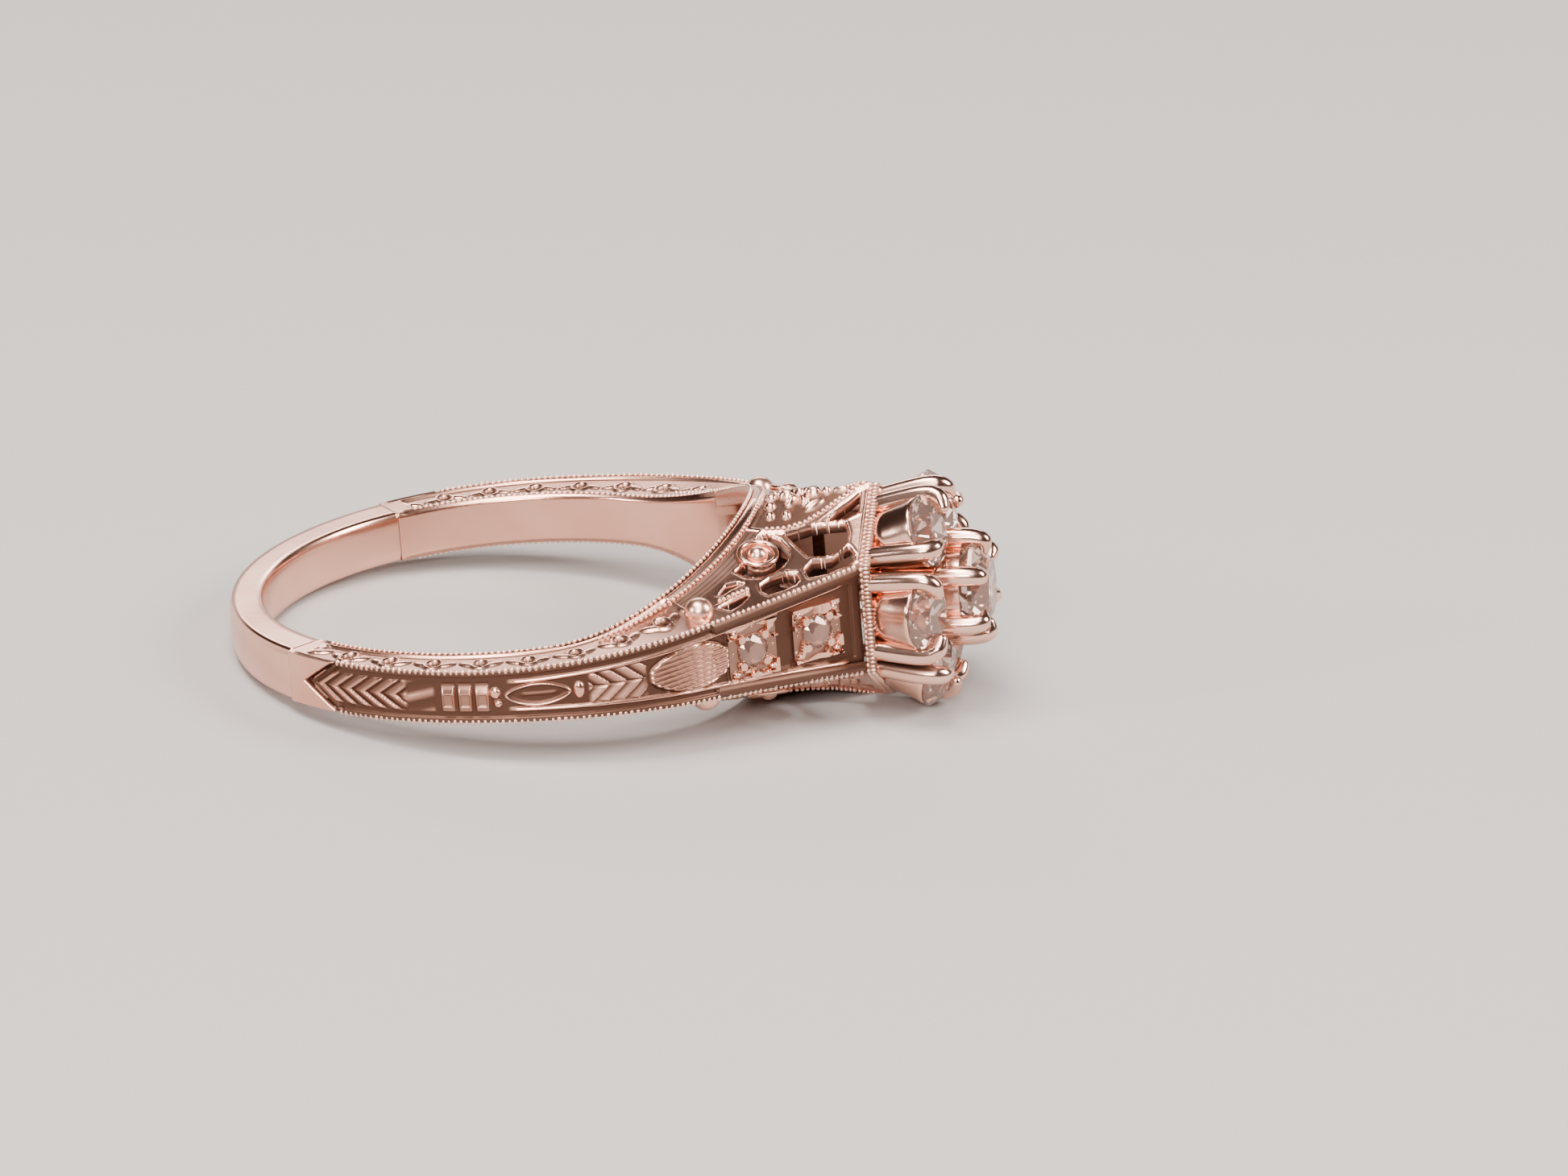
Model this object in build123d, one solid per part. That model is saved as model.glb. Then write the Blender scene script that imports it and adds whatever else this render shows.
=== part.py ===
from build123d import *
import os
from math import acos, atan2, cos, degrees, pi, radians, sin, sqrt, tan

# Engagement ring: a hoop whose arms swell into a pierced, bridge-shaped head carrying a
# hexagonal plate, six tilted stones in collets and one taller centre stone.
# Frame, in millimetres: origin at the centre of the finger hole, +Z along the finger,
# +X toward the stones.  "left" is +Y, "right" is -Y, "upper" is +Z, "lower" is -Z.

# ---- driving dimensions -------------------------------------------------------------
finger_radius = 8.45
side_thickness = 2.05
hoop_growth = 0.85
shank_half_width = 0.88
shank_crown = 0.09
seam_angle = 128.0
arm_overlap_angle = 3.0

plate_stand_off = 1.45
plate_thickness = 0.35
plate_margin = 0.88

finger_rise = 2.40
finger_rise_angle = 72.0

sheet_thickness = 0.40
rail_width = 0.60
rail_depth = 0.60
shoulder_thickness = 0.45
channel_depth = 0.14
border_height = 0.28
dot_radius = 0.24
dot_depth = 0.16
dot_count = 7

plaque_size = 1.90
plaque_thickness = 0.90
plaque_groove = 0.16
shoulder_stone_diameter = 1.15
shoulder_stone_offsets = (1.8, 4.4)

rosette_radius = 0.68
rosette_bore = 0.46
rosette_height = 0.60
rosette_bead_radius = 0.30
opening_radius = 0.93
gallery_bead_radius = 0.50
crest_bead_radius = 0.17

outer_stone_diameter = 2.5
outer_stone_gap = 0.40
outer_stone_lift = 1.75
outer_tilt = 18.0
collet_lip = 0.05
collet_taper = 0.37
collet_wall = 0.20
collet_drop = 0.14

prong_radius = 0.36
prong_pair_gap = 0.17
outer_prong_foot = 0.26
outer_prong_lean = 0.62
outer_prong_top = 0.52
foot_height = 0.22

centre_stone_diameter = 3.3
centre_stone_lift = 3.05
centre_prong_top = 0.30
prong_bite = 0.31
bearing_bite = 0.12
bearing_wall = 0.38
bearing_height = 0.55
rail_ring_lift = 0.80
rail_ring_height = 0.32

tall = 12.0
overshoot = 0.5

# ---- derived outline of the body, seen along the finger -----------------------------
outer_radius = finger_radius + side_thickness
plate_back_x = hoop_growth + outer_radius + plate_stand_off
plate_front_x = plate_back_x + plate_thickness
neighbour_spacing = outer_stone_diameter + outer_stone_gap
centre_spacing = (outer_stone_diameter + centre_stone_diameter) / 2
outer_ring_radius = max(neighbour_spacing, centre_spacing)
plate_circumradius = outer_ring_radius + plate_margin
plate_corner_y = plate_circumradius * cos(pi / 6)
plate_corner_z = plate_circumradius * sin(pi / 6)
corner_angle = degrees(atan2(plate_corner_y, plate_back_x))
corner_reach = sqrt((plate_back_x - hoop_growth) ** 2 + plate_corner_y ** 2)
corner_bearing = atan2(plate_corner_y, plate_back_x - hoop_growth)
tangent_bearing = corner_bearing + acos(outer_radius / corner_reach)
tangent_x = hoop_growth + outer_radius * cos(tangent_bearing)
tangent_y = outer_radius * sin(tangent_bearing)
tangent_angle = degrees(atan2(tangent_y, tangent_x))
arm_start_angle = tangent_angle - arm_overlap_angle
shoulder_length = sqrt(corner_reach ** 2 - outer_radius ** 2)
along = ((plate_back_x - tangent_x) / shoulder_length, (plate_corner_y - tangent_y) / shoulder_length)
inward = (-cos(tangent_bearing), -sin(tangent_bearing))


def shoulder_point(back, depth):
    """Plan point on the left shoulder: back from the plate corner, depth inward from the outline."""
    x = plate_back_x - along[0] * back + inward[0] * depth
    y = plate_corner_y - along[1] * back + inward[1] * depth
    return (x, y)


def outline_radius(angle):
    """Distance from the finger axis to the outline of the left half at a polar angle."""
    a = radians(angle)
    if angle <= corner_angle:
        return plate_back_x / cos(a)
    if angle <= tangent_angle:
        return (outer_radius + hoop_growth * cos(tangent_bearing)) / cos(a - tangent_bearing)
    return hoop_growth * cos(a) + sqrt(outer_radius ** 2 - (hoop_growth * sin(a)) ** 2)


def outline_height(angle):
    """Half height of the outer edge: level round the hoop, rising to the plate and along its edge."""
    x = outline_radius(angle) * cos(radians(angle))
    y = outline_radius(angle) * sin(radians(angle))
    if angle <= corner_angle:
        return plate_circumradius - (plate_circumradius - plate_corner_z) * y / plate_corner_y
    return shank_half_width + (plate_corner_z - shank_half_width) * (max(x, 0.0) / plate_back_x) ** 2


def finger_height(angle):
    """Half height of the edge round the finger hole."""
    if angle >= finger_rise_angle:
        return shank_half_width
    return shank_half_width + finger_rise * cos(radians(90.0 * angle / finger_rise_angle)) ** 2


def surface_height(x, y):
    """Height of the upper surface over a plan point of the left half."""
    angle = degrees(atan2(y, x))
    reach = sqrt(x * x + y * y)
    share = (reach - finger_radius) / (outline_radius(angle) - finger_radius)
    return finger_height(angle) * (1 - share) + outline_height(angle) * share


def surface_plane(x, y):
    """Plane lying on the upper surface, its normal pointing out of the metal."""
    step = 0.05
    slope_x = (surface_height(x + step, y) - surface_height(x - step, y)) / (2 * step)
    slope_y = (surface_height(x, y + step) - surface_height(x, y - step)) / (2 * step)
    return Plane(origin=(x, y, surface_height(x, y)), z_dir=(-slope_x, -slope_y, 1))


# ---- construction helpers -----------------------------------------------------------
def prism(points):
    """Tall straight prism over a closed plan polygon, level about the mid plane."""
    return extrude(make_face(Polyline(*points, close=True)), amount=tall, both=True)


def sector(start, end):
    """Tall prism covering the polar angles from start to end."""
    count = max(2, int(abs(end - start) / 30) + 2)
    points = [(0, 0)]
    for i in range(count):
        a = radians(start + (end - start) * i / (count - 1))
        points.append((40 * cos(a), 40 * sin(a)))
    return prism(points)


def shoulder_box(back_near, back_far, depth_near, depth_far):
    """Tall prism over a rectangle laid out on the left shoulder."""
    near_side = [shoulder_point(back_near, depth_near), shoulder_point(back_far, depth_near)]
    far_side = [shoulder_point(back_far, depth_far), shoulder_point(back_near, depth_far)]
    return prism(near_side + far_side)


def shoulder_slot(back_near, back_far, depth_near, depth_far, corner):
    """Tall prism over a round-cornered rectangle laid out on the left shoulder."""
    plan = RectangleRounded(back_far - back_near, depth_far - depth_near, corner)
    centre = shoulder_point((back_near + back_far) / 2, (depth_near + depth_far) / 2)
    place = Location((centre[0], centre[1], 0), (0, 0, degrees(atan2(along[1], along[0]))))
    return place * extrude(plan, amount=tall, both=True)


def surface_face(start, end, drop):
    """Ruled patch of the upper surface between two polar angles, lowered by drop."""
    count = 3 + int((end - start) / 5)
    near = []
    far = []
    for i in range(count):
        angle = start + (end - start) * i / (count - 1)
        outer = outline_radius(angle)
        slope = (outline_height(angle) - finger_height(angle)) / (outer - finger_radius)
        ends = ((finger_radius - overshoot, near), (outer + overshoot, far))
        for reach, row in ends:
            height = finger_height(angle) + slope * (reach - finger_radius) - drop
            row.append((reach * cos(radians(angle)), reach * sin(radians(angle)), height))
    return Face.make_surface_from_curves(Spline(*near), Spline(*far))


def sheet(spans, drop, depth):
    """Sheet of the given depth hanging from the lowered upper surface."""
    pieces = [Solid.extrude(surface_face(a, b, drop), Vector(0, 0, -depth)) for a, b in spans]
    return Part() + pieces


def block(spans, drop):
    """Solid between the upper surface and its mirror image below the mid plane."""
    half = sheet(spans, drop, tall)
    return half & mirror(half, about=Plane.XY)


def brilliant(diameter):
    """Round brilliant: table, stars, kites and halves over a thin girdle, pavilion to a point."""
    radius = diameter / 2
    table = 0.56 * radius
    girdle = 0.04 * radius
    crown = 0.31 * radius
    pavilion = 0.86 * radius
    star = 0.80 * radius
    half = 0.50 * radius
    star_z = girdle + crown * (1 - (star * cos(pi / 8) - table) / (radius - table))
    half_z = -girdle - pavilion * (1 - half * cos(pi / 8) / radius)
    points = [(0, 0, -girdle - pavilion)]
    for i in range(16):
        a = pi * i / 8
        points.append((radius * cos(a), radius * sin(a), girdle))
        points.append((radius * cos(a), radius * sin(a), -girdle))
        if i % 2 == 0:
            points.append((table * cos(a), table * sin(a), girdle + crown))
        else:
            points.append((star * cos(a), star * sin(a), star_z))
            points.append((half * cos(a), half * sin(a), half_z))
    return ConvexPolyhedron(points)


def claw(points, radius):
    """Round wire swept along a smooth path, its free end domed."""
    path = Spline(*points)
    start = Plane(origin=path @ 0, z_dir=path % 0)
    wire = sweep(start * Circle(radius), path=path)
    return wire + Pos(*points[-1]) * Sphere(radius)


def rod(plane, radius, low, high):
    """Straight round rod standing on a plane."""
    return plane * Pos(0, 0, low) * extrude(Circle(radius), amount=high - low)


def tube(plane, outer, inner, low, high):
    """Straight tube standing on a plane."""
    return rod(plane, outer, low, high) - rod(plane, inner, low - 1, high + 1)


def head_point(x, reach, angle):
    """Point in the head: x along the stones' axis, reach and angle about it, 0 toward the right."""
    a = radians(angle)
    return (x, -reach * cos(a), reach * sin(a))


nodes = {}


def keep_both_sides(name, piece):
    """Name a piece of the left half and its mirror image on the right."""
    nodes["left_" + name] = piece
    nodes["right_" + name] = mirror(piece, about=Plane.XZ)


def keep_quarters(name, piece):
    """Name an upper left piece and its three mirror images."""
    keep_both_sides("upper_" + name, piece)
    keep_both_sides("lower_" + name, mirror(piece, about=Plane.XY))


# ---- plan of the whole body ---------------------------------------------------------
finger_hole = Cylinder(finger_radius, 4 * tall)
hoop_disc = Pos(hoop_growth, 0, 0) * Cylinder(outer_radius, 4 * tall)
inner_disc = Pos(hoop_growth, 0, 0) * Cylinder(outer_radius - channel_depth, 4 * tall)
head_plan = prism([
    (0, 0),
    (tangent_x, tangent_y),
    (plate_back_x, plate_corner_y),
    (plate_back_x, 0),
])
body_plan = hoop_disc + head_plan - finger_hole
all_spans = [(0.0, corner_angle), (corner_angle, tangent_angle), (tangent_angle, seam_angle)]
head_spans = all_spans[:2]
arm_spans = all_spans[1:]

# ---- plain back of the shank, a touch fuller along the middle of its outer face ------
crown_rise = (shank_half_width ** 2 - shank_crown ** 2) / (2 * shank_crown)
back_profile = make_face([
    Line((0, -shank_half_width), (outer_radius - shank_crown, -shank_half_width)),
    ThreePointArc(
        (outer_radius - shank_crown, -shank_half_width),
        (outer_radius, 0),
        (outer_radius - shank_crown, shank_half_width),
    ),
    Line((outer_radius - shank_crown, shank_half_width), (0, shank_half_width)),
    Line((0, shank_half_width), (0, -shank_half_width)),
])
back_disc = Pos(hoop_growth, 0, 0) * revolve(Plane.XZ * back_profile, axis=Axis.Z)
nodes["back_shank"] = (back_disc - finger_hole) & sector(seam_angle, 360 - seam_angle)

# ---- bead in each corner of the gallery, bedded half in the panel and half in the arm ---
bead_at = shoulder_point(5.86, 1.02)
bead_plane = surface_plane(bead_at[0], bead_at[1])
gallery_bead = bead_plane * Pos(0, 0, -0.06) * Sphere(gallery_bead_radius)

# ---- engraved arms: solid wire with a sunk channel outside and drilled dots on both faces ----
arm = block(arm_spans, 0.0) & body_plan & sector(arm_start_angle, seam_angle)
channel = block(arm_spans, border_height) & sector(tangent_angle + 2, seam_angle - 3)
arm = arm - (channel - inner_disc) - gallery_bead - mirror(gallery_bead, about=Plane.XY)
dot_step = (seam_angle - 8 - tangent_angle) / (dot_count - 1)
for i in range(dot_count):
    dot_angle = tangent_angle + 1.0 + dot_step * i
    dot_reach = (finger_radius + outline_radius(dot_angle)) / 2
    dot_plane = surface_plane(dot_reach * cos(radians(dot_angle)), dot_reach * sin(radians(dot_angle)))
    dot = dot_plane * Cone(dot_radius * 0.35, dot_radius, 2 * dot_depth)
    arm = arm - dot - mirror(dot, about=Plane.XY)
keep_both_sides("arm", arm)

# ---- plan openings pierced in the gallery ---------------------------------------------
row_windows = Part() + [
    shoulder_slot(0.25, 1.80, 0.15, 0.85, 0.22),
    shoulder_slot(2.00, 3.50, 0.35, 1.10, 0.22),
    shoulder_slot(4.00, 5.50, 0.35, 0.93, 0.20),
]
slot_window = shoulder_slot(3.75, 5.10, 1.22, 1.66, 0.20)
large_window = prism([
    (plate_back_x - 2.18, 1.98),
    (plate_back_x - 1.70, 1.60),
    (plate_back_x - 0.70, 1.50),
    (plate_back_x - 0.48, 2.20),
    (plate_back_x - 0.95, 2.85),
    (plate_back_x - 1.55, 2.78),
    (plate_back_x - 2.05, 2.42),
])
edge_window = prism([
    (plate_back_x - 0.35, 0.48),
    (plate_back_x - 0.35, 0.92),
    (plate_back_x - 0.80, 1.02),
    (plate_back_x - 1.25, 1.22),
])

# ---- outer plates of the shoulders, channelled between raised borders -----------------
shoulder_zone = body_plan & sector(1.0, arm_start_angle)
shoulder = block([all_spans[1]], 0.0) & shoulder_zone & shoulder_box(-2, 9, -1, shoulder_thickness)
shoulder_channel = block([all_spans[1]], border_height) & shoulder_box(0.3, 9, -1, channel_depth)
shoulder_pockets = sheet([all_spans[1]], -overshoot, shoulder_thickness + overshoot) & row_windows
shoulder = shoulder - shoulder_channel - shoulder_pockets - mirror(shoulder_pockets, about=Plane.XY)

# ---- star-cut plaques let into the shoulders, each with one small stone ---------------
shoulder_stone = brilliant(shoulder_stone_diameter)
for number, offset in enumerate(shoulder_stone_offsets, start=1):
    x, y = shoulder_point(offset, 0.0)
    face_plane = Plane(origin=(x, y, 0), x_dir=(along[0], along[1], 0), z_dir=(-inward[0], -inward[1], 0))
    plaque_block = Box(plaque_size, plaque_size, plaque_thickness)
    plaque_box = face_plane * Pos(0, 0, -plaque_thickness / 2) * plaque_block
    plaque = plaque_box
    for i in range(8):
        reach = plaque_size * (0.50 if i % 2 else 0.42)
        groove = Rot(45, 0, 0) * Box(0.62, plaque_groove, plaque_groove)
        plaque = plaque - face_plane * Rot(0, 0, 45 * i) * Pos(reach, 0, 0.02) * groove
    dish = Cone(0.54 * shoulder_stone_diameter, 0.66 * shoulder_stone_diameter, 0.30)
    stone = face_plane * Pos(0, 0, -0.10) * shoulder_stone
    plaque = plaque - face_plane * dish - stone
    shoulder = shoulder - plaque_box
    keep_both_sides("plaque_%d" % number, plaque)
    keep_both_sides("shoulder_diamond_%d" % number, stone)
keep_both_sides("shoulder", shoulder)

# ---- rosettes and beads set in the gallery --------------------------------------------
rosette_at = shoulder_point(2.63, 2.20)
rosette_plane = surface_plane(rosette_at[0], rosette_at[1])
rosette = rod(rosette_plane, rosette_radius, -rosette_height, 0.10)
rosette = rosette - rod(rosette_plane, rosette_bore, -0.25, 0.5)
rosette_bead = rosette_plane * Pos(0, 0, -0.05) * Sphere(rosette_bead_radius)
rosette_bead = rosette_bead - rod(rosette_plane, 1.0, -1.0, -0.25)
rosette_hole = rod(rosette_plane, rosette_radius, -2.0, 2.0)
rosette_gap = tube(rosette_plane, opening_radius, rosette_radius - 0.1, -2.0, 2.0)
rosette_necks = rosette_plane * Rot(0, 0, 20) * Box(3.0, 0.5, 5.0)
rosette_necks = rosette_necks + rosette_plane * Rot(0, 0, 110) * Box(3.0, 0.34, 5.0)
keep_quarters("rosette", rosette)
bead_mirrors = [rosette_bead, mirror(rosette_bead, about=Plane.XY)]
nodes["rosette_beads"] = Compound(children=bead_mirrors + [mirror(b, about=Plane.XZ) for b in bead_mirrors])

# ---- pierced gallery panels between shoulder, plate, finger rail and crest ------------
rail_disc = Cylinder(finger_radius + rail_width, 4 * tall)
crest_foot_x = finger_radius - overshoot
crest_plan = prism([
    (plate_back_x, 0),
    (plate_back_x - 0.52, 0.44),
    (plate_back_x - 1.50, 1.30),
    (plate_back_x - 2.68, 2.08),
    (plate_back_x - 3.40, 2.36),
    (crest_foot_x, 2.36),
    (crest_foot_x, 0),
])
sheet_zone = shoulder_zone + (body_plan & sector(0.0, 2.0))
full_sheet = sheet(head_spans, 0.0, sheet_thickness) & sheet_zone
panel = full_sheet - rail_disc - crest_plan - shoulder_box(-2, 9, -1, shoulder_thickness)
panel = panel - row_windows - slot_window - large_window - edge_window
panel = panel - rosette_hole - (rosette_gap - rosette_necks) - gallery_bead
keep_quarters("gallery_panel", panel)
bead_mirrors = [gallery_bead, mirror(gallery_bead, about=Plane.XY)]
nodes["gallery_beads"] = Compound(children=bead_mirrors + [mirror(b, about=Plane.XZ) for b in bead_mirrors])

# ---- crests: solid triangular panels over the middle of the bridge --------------------
crest_half = (full_sheet & crest_plan) - rail_disc - rosette_hole
crest = crest_half + mirror(crest_half, about=Plane.XZ)
crest_beads = []
flower = ((3.05, 0.0), (3.25, 0.62), (3.25, -0.62), (2.50, 0.42), (2.50, -0.42), (1.85, 0.0))
for back, y in flower:
    x = plate_back_x - back
    crest_beads.append(Pos(x, y, surface_height(x, abs(y)) + 0.02) * Sphere(crest_bead_radius))
crest = crest - crest_beads
nodes["upper_crest"] = crest
nodes["lower_crest"] = mirror(crest, about=Plane.XY)
nodes["crest_beads"] = Compound(children=crest_beads + [mirror(b, about=Plane.XY) for b in crest_beads])

# ---- rails that bound the open mouth of the head round the finger ---------------------
rail_half = sheet(head_spans, 0.0, rail_depth) & (rail_disc - finger_hole) & sector(0.0, arm_start_angle)
rail = rail_half + mirror(rail_half, about=Plane.XZ)
nodes["upper_finger_rail"] = rail
nodes["lower_finger_rail"] = mirror(rail, about=Plane.XY)

# ---- sizes of the head that follow the stones ------------------------------------------
outer_girdle_x = plate_front_x + outer_stone_lift
collet_top_radius = outer_stone_diameter / 2 - collet_lip
collet_base_radius = collet_top_radius - collet_taper
outer_prong_angle = degrees((prong_radius + prong_pair_gap / 2) / (outer_ring_radius + outer_prong_foot))
centre_girdle_x = plate_front_x + centre_stone_lift
centre_prong_ring = centre_stone_diameter / 2 + prong_radius - prong_bite
bearing_outer = centre_prong_ring - prong_radius + bearing_bite
bearing_inner = bearing_outer - bearing_wall
rail_ring_x = plate_front_x + rail_ring_lift

# ---- hexagonal plate, pierced under each stone ----------------------------------------
plate_plane = Plane(origin=(plate_back_x, 0, 0), x_dir=(0, -1, 0), z_dir=(1, 0, 0))
plate_sketch = RegularPolygon(plate_circumradius, 6, rotation=30) - Circle(bearing_inner - 0.13)
pierce_radius = outer_ring_radius - outer_stone_lift * tan(radians(outer_tilt))
plate_sketch = plate_sketch - PolarLocations(pierce_radius, 6) * Circle(collet_base_radius - 0.30)
nodes["hexagon_plate"] = plate_plane * extrude(plate_sketch, amount=plate_thickness)

# ---- six tilted collets and their stones ----------------------------------------------
outer_stone = brilliant(outer_stone_diameter)
above_plate = Pos(plate_front_x + tall / 2, 0, 0) * Box(tall, 3 * tall, 3 * tall)
collet_height = (outer_girdle_x - plate_front_x) / cos(radians(outer_tilt))
outer_stones = []
for k in range(6):
    angle = 60.0 * k
    centre = Vector(*head_point(outer_girdle_x, outer_ring_radius, angle))
    axis = Vector(*head_point(cos(radians(outer_tilt)), sin(radians(outer_tilt)), angle))
    side = Vector(0, sin(radians(angle)), cos(radians(angle)))
    stone_plane = Plane(origin=centre, x_dir=side, z_dir=axis)
    stone = stone_plane * outer_stone
    flare = (collet_top_radius - collet_base_radius) / (collet_height - collet_drop)
    skirt = collet_height + 0.6
    low_radius = collet_base_radius - flare * 0.6
    body = Cone(low_radius, collet_top_radius, skirt - collet_drop)
    hollow = Cone(low_radius - collet_wall, collet_top_radius - collet_wall, skirt - collet_drop)
    collet = stone_plane * Pos(0, 0, -(skirt + collet_drop) / 2) * (body - hollow)
    nodes["outer_collet_%d" % (k + 1)] = (collet & above_plate) - stone
    nodes["outer_diamond_%d" % (k + 1)] = stone
    outer_stones.append(stone)

# ---- pairs of prongs at the corners of the plate, one for each neighbouring stone -----
for k in range(6):
    corner = 60.0 * k + 30.0
    pair = Part()
    for hand in (-1, 1):
        a = corner + hand * outer_prong_angle
        toward = corner + hand * (outer_prong_angle + 3.5)
        top = outer_girdle_x + outer_prong_top
        pair += claw([
            head_point(plate_front_x - 0.2, outer_ring_radius + outer_prong_foot, a),
            head_point(top - 3.4 * prong_radius, outer_ring_radius + outer_prong_lean, a),
            head_point(top - 1.75 * prong_radius, outer_ring_radius + outer_prong_lean + 0.03, a),
            head_point(top - prong_radius, outer_ring_radius + outer_prong_lean - 0.12, toward),
        ], prong_radius)
    foot = Pos(plate_front_x + foot_height / 2, 0, 0) * Box(foot_height, 2 * prong_radius, 0.30)
    foot_centre = head_point(0, outer_ring_radius + outer_prong_foot, corner)
    foot_place = Location(foot_centre, (90.0 - corner, 0, 0))
    pair = (pair + foot_place * foot) & above_plate
    pair = pair - outer_stones[k] - outer_stones[(k + 1) % 6]
    this_collet = nodes["outer_collet_%d" % (k + 1)]
    next_collet = nodes["outer_collet_%d" % ((k + 1) % 6 + 1)]
    nodes["outer_prongs_%d" % (k + 1)] = pair - this_collet - next_collet

# ---- taller centre setting: six prongs, a bearing ring and a lower rail ---------------
centre_plane = Plane(origin=(0, 0, 0), x_dir=(0, -1, 0), z_dir=(1, 0, 0))
centre_stone = centre_plane * Pos(0, 0, centre_girdle_x) * brilliant(centre_stone_diameter)
nodes["centre_diamond"] = centre_stone
bearing_top = centre_girdle_x - 0.40
bearing_foot = bearing_top - bearing_height
bearing = tube(centre_plane, bearing_outer, bearing_inner, bearing_foot, bearing_top) - centre_stone
rail_ring = tube(centre_plane, bearing_outer, bearing_inner, rail_ring_x, rail_ring_x + rail_ring_height)
for k in range(6):
    angle = 60.0 * k + 30.0
    tip = centre_girdle_x + centre_prong_top
    prong = claw([
        head_point(plate_front_x - 0.2, centre_prong_ring - 0.06, angle),
        head_point(outer_girdle_x, centre_prong_ring, angle),
        head_point(centre_girdle_x - 0.2, centre_prong_ring + 0.06, angle),
        head_point(tip, centre_prong_ring - 0.30, angle),
    ], prong_radius) & above_plate
    prong = prong - centre_stone - outer_stones[k] - outer_stones[(k + 1) % 6]
    bearing = bearing - prong
    rail_ring = rail_ring - prong
    nodes["centre_prong_%d" % (k + 1)] = prong
nodes["centre_bearing"] = bearing
nodes["centre_rail"] = rail_ring

# ---- one file for each named piece -----------------------------------------------------
os.makedirs("parts", exist_ok=True)
for name, piece in nodes.items():
    export_step(piece, "parts/%s.step" % name)
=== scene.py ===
import bmesh
import bpy
import numpy as np
from mathutils import Matrix, Vector


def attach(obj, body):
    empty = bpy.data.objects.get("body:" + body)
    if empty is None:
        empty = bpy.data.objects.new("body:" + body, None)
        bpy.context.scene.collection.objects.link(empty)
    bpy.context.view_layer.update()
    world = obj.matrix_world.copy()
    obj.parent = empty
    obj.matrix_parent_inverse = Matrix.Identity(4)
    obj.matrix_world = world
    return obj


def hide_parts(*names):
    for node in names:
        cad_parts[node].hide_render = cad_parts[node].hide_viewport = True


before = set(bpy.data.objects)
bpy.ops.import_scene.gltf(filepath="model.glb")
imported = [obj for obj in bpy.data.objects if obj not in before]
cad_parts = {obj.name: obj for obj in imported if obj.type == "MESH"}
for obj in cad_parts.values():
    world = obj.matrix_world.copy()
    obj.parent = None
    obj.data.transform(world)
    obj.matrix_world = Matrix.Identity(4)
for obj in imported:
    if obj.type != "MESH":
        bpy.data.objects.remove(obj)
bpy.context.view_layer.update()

# ---------------------------------------------------------------------------
# The camera looks along the finger-wise side of the ring from a little above,
# through a long lens, rolled slightly because the ring lies on its side.
view_side = np.radians(10.461)
view_rise = np.radians(18.502)
view_roll = np.radians(-4.567)
eye_distance = 0.3153
eye_shift = 0.009406
eye_lift = 0.000273
toward_eye = np.array([
    np.sin(view_side) * np.cos(view_rise),
    -np.cos(view_side) * np.cos(view_rise),
    np.sin(view_rise),
])
level_right = np.array([np.cos(view_side), np.sin(view_side), 0.0])
level_up = np.cross(toward_eye, level_right)
eye_right = np.cos(view_roll) * level_right + np.sin(view_roll) * level_up
eye_up = -np.sin(view_roll) * level_right + np.cos(view_roll) * level_up
eye_at = eye_shift * eye_right + eye_lift * eye_up + eye_distance * toward_eye
lens = bpy.data.cameras.new("ring_camera")
lens.sensor_width = 36.0
lens.lens = 210.45
lens.clip_start = 0.01
lens.clip_end = 20.0
camera = bpy.data.objects.new("ring_camera", lens)
stand = np.eye(4)
stand[:3, :] = np.stack([eye_right, eye_up, toward_eye, eye_at], axis=1)
camera.matrix_world = Matrix(stand.tolist())
bpy.context.scene.collection.objects.link(camera)
bpy.context.scene.camera = camera

# ---------------------------------------------------------------------------
# Bench top: a plain pale board. The ring lies on its side on it, so the board
# touches the back of the hoop and the lowest stones, and is tilted to suit.
board_tilt = np.arctan2(3.10, 24.2)
board_reach = 1.2
hoop_back_x = -0.0094
hoop_under_z = -0.00093
board_paint = bpy.data.materials.new("pale_board")
board_paint.use_nodes = True
board_shader = board_paint.node_tree.nodes["Principled BSDF"]
board_shader.inputs["Roughness"].default_value = 0.85
board_shader.inputs["Base Color"].default_value = (0.40, 0.38, 0.365, 1)
board_grain = board_paint.node_tree.nodes.new("ShaderNodeTexNoise")
board_grain.inputs["Scale"].default_value = 900.0
board_grain.inputs["Detail"].default_value = 6.0
board_bump = board_paint.node_tree.nodes.new("ShaderNodeBump")
board_bump.inputs["Strength"].default_value = 0.15
board_bump.inputs["Distance"].default_value = 0.0002
board_paint.node_tree.links.new(board_grain.outputs["Fac"], board_bump.inputs["Height"])
board_paint.node_tree.links.new(board_bump.outputs["Normal"], board_shader.inputs["Normal"])
board_mesh = bpy.data.meshes.new("bench_board")
board_corners = []
for along, across in ((-1, -1), (1, -1), (1, 1), (-1, 1)):
    x = board_reach * along
    board_corners.append((x, board_reach * across, hoop_under_z - (x - hoop_back_x) * np.tan(board_tilt)))
board_mesh.from_pydata(board_corners, [], [(0, 1, 2, 3)])
board = bpy.data.objects.new("bench_board", board_mesh)
board_mesh.materials.append(board_paint)
bpy.context.scene.collection.objects.link(board)

# ---------------------------------------------------------------------------
# Soft studio light: a broad box overhead, two behind, two cards in front and a
# box on each side, all turned to the ring, in a dim warm room for it to mirror.
ring_middle = Vector((0.006, 0, 0))


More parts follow.
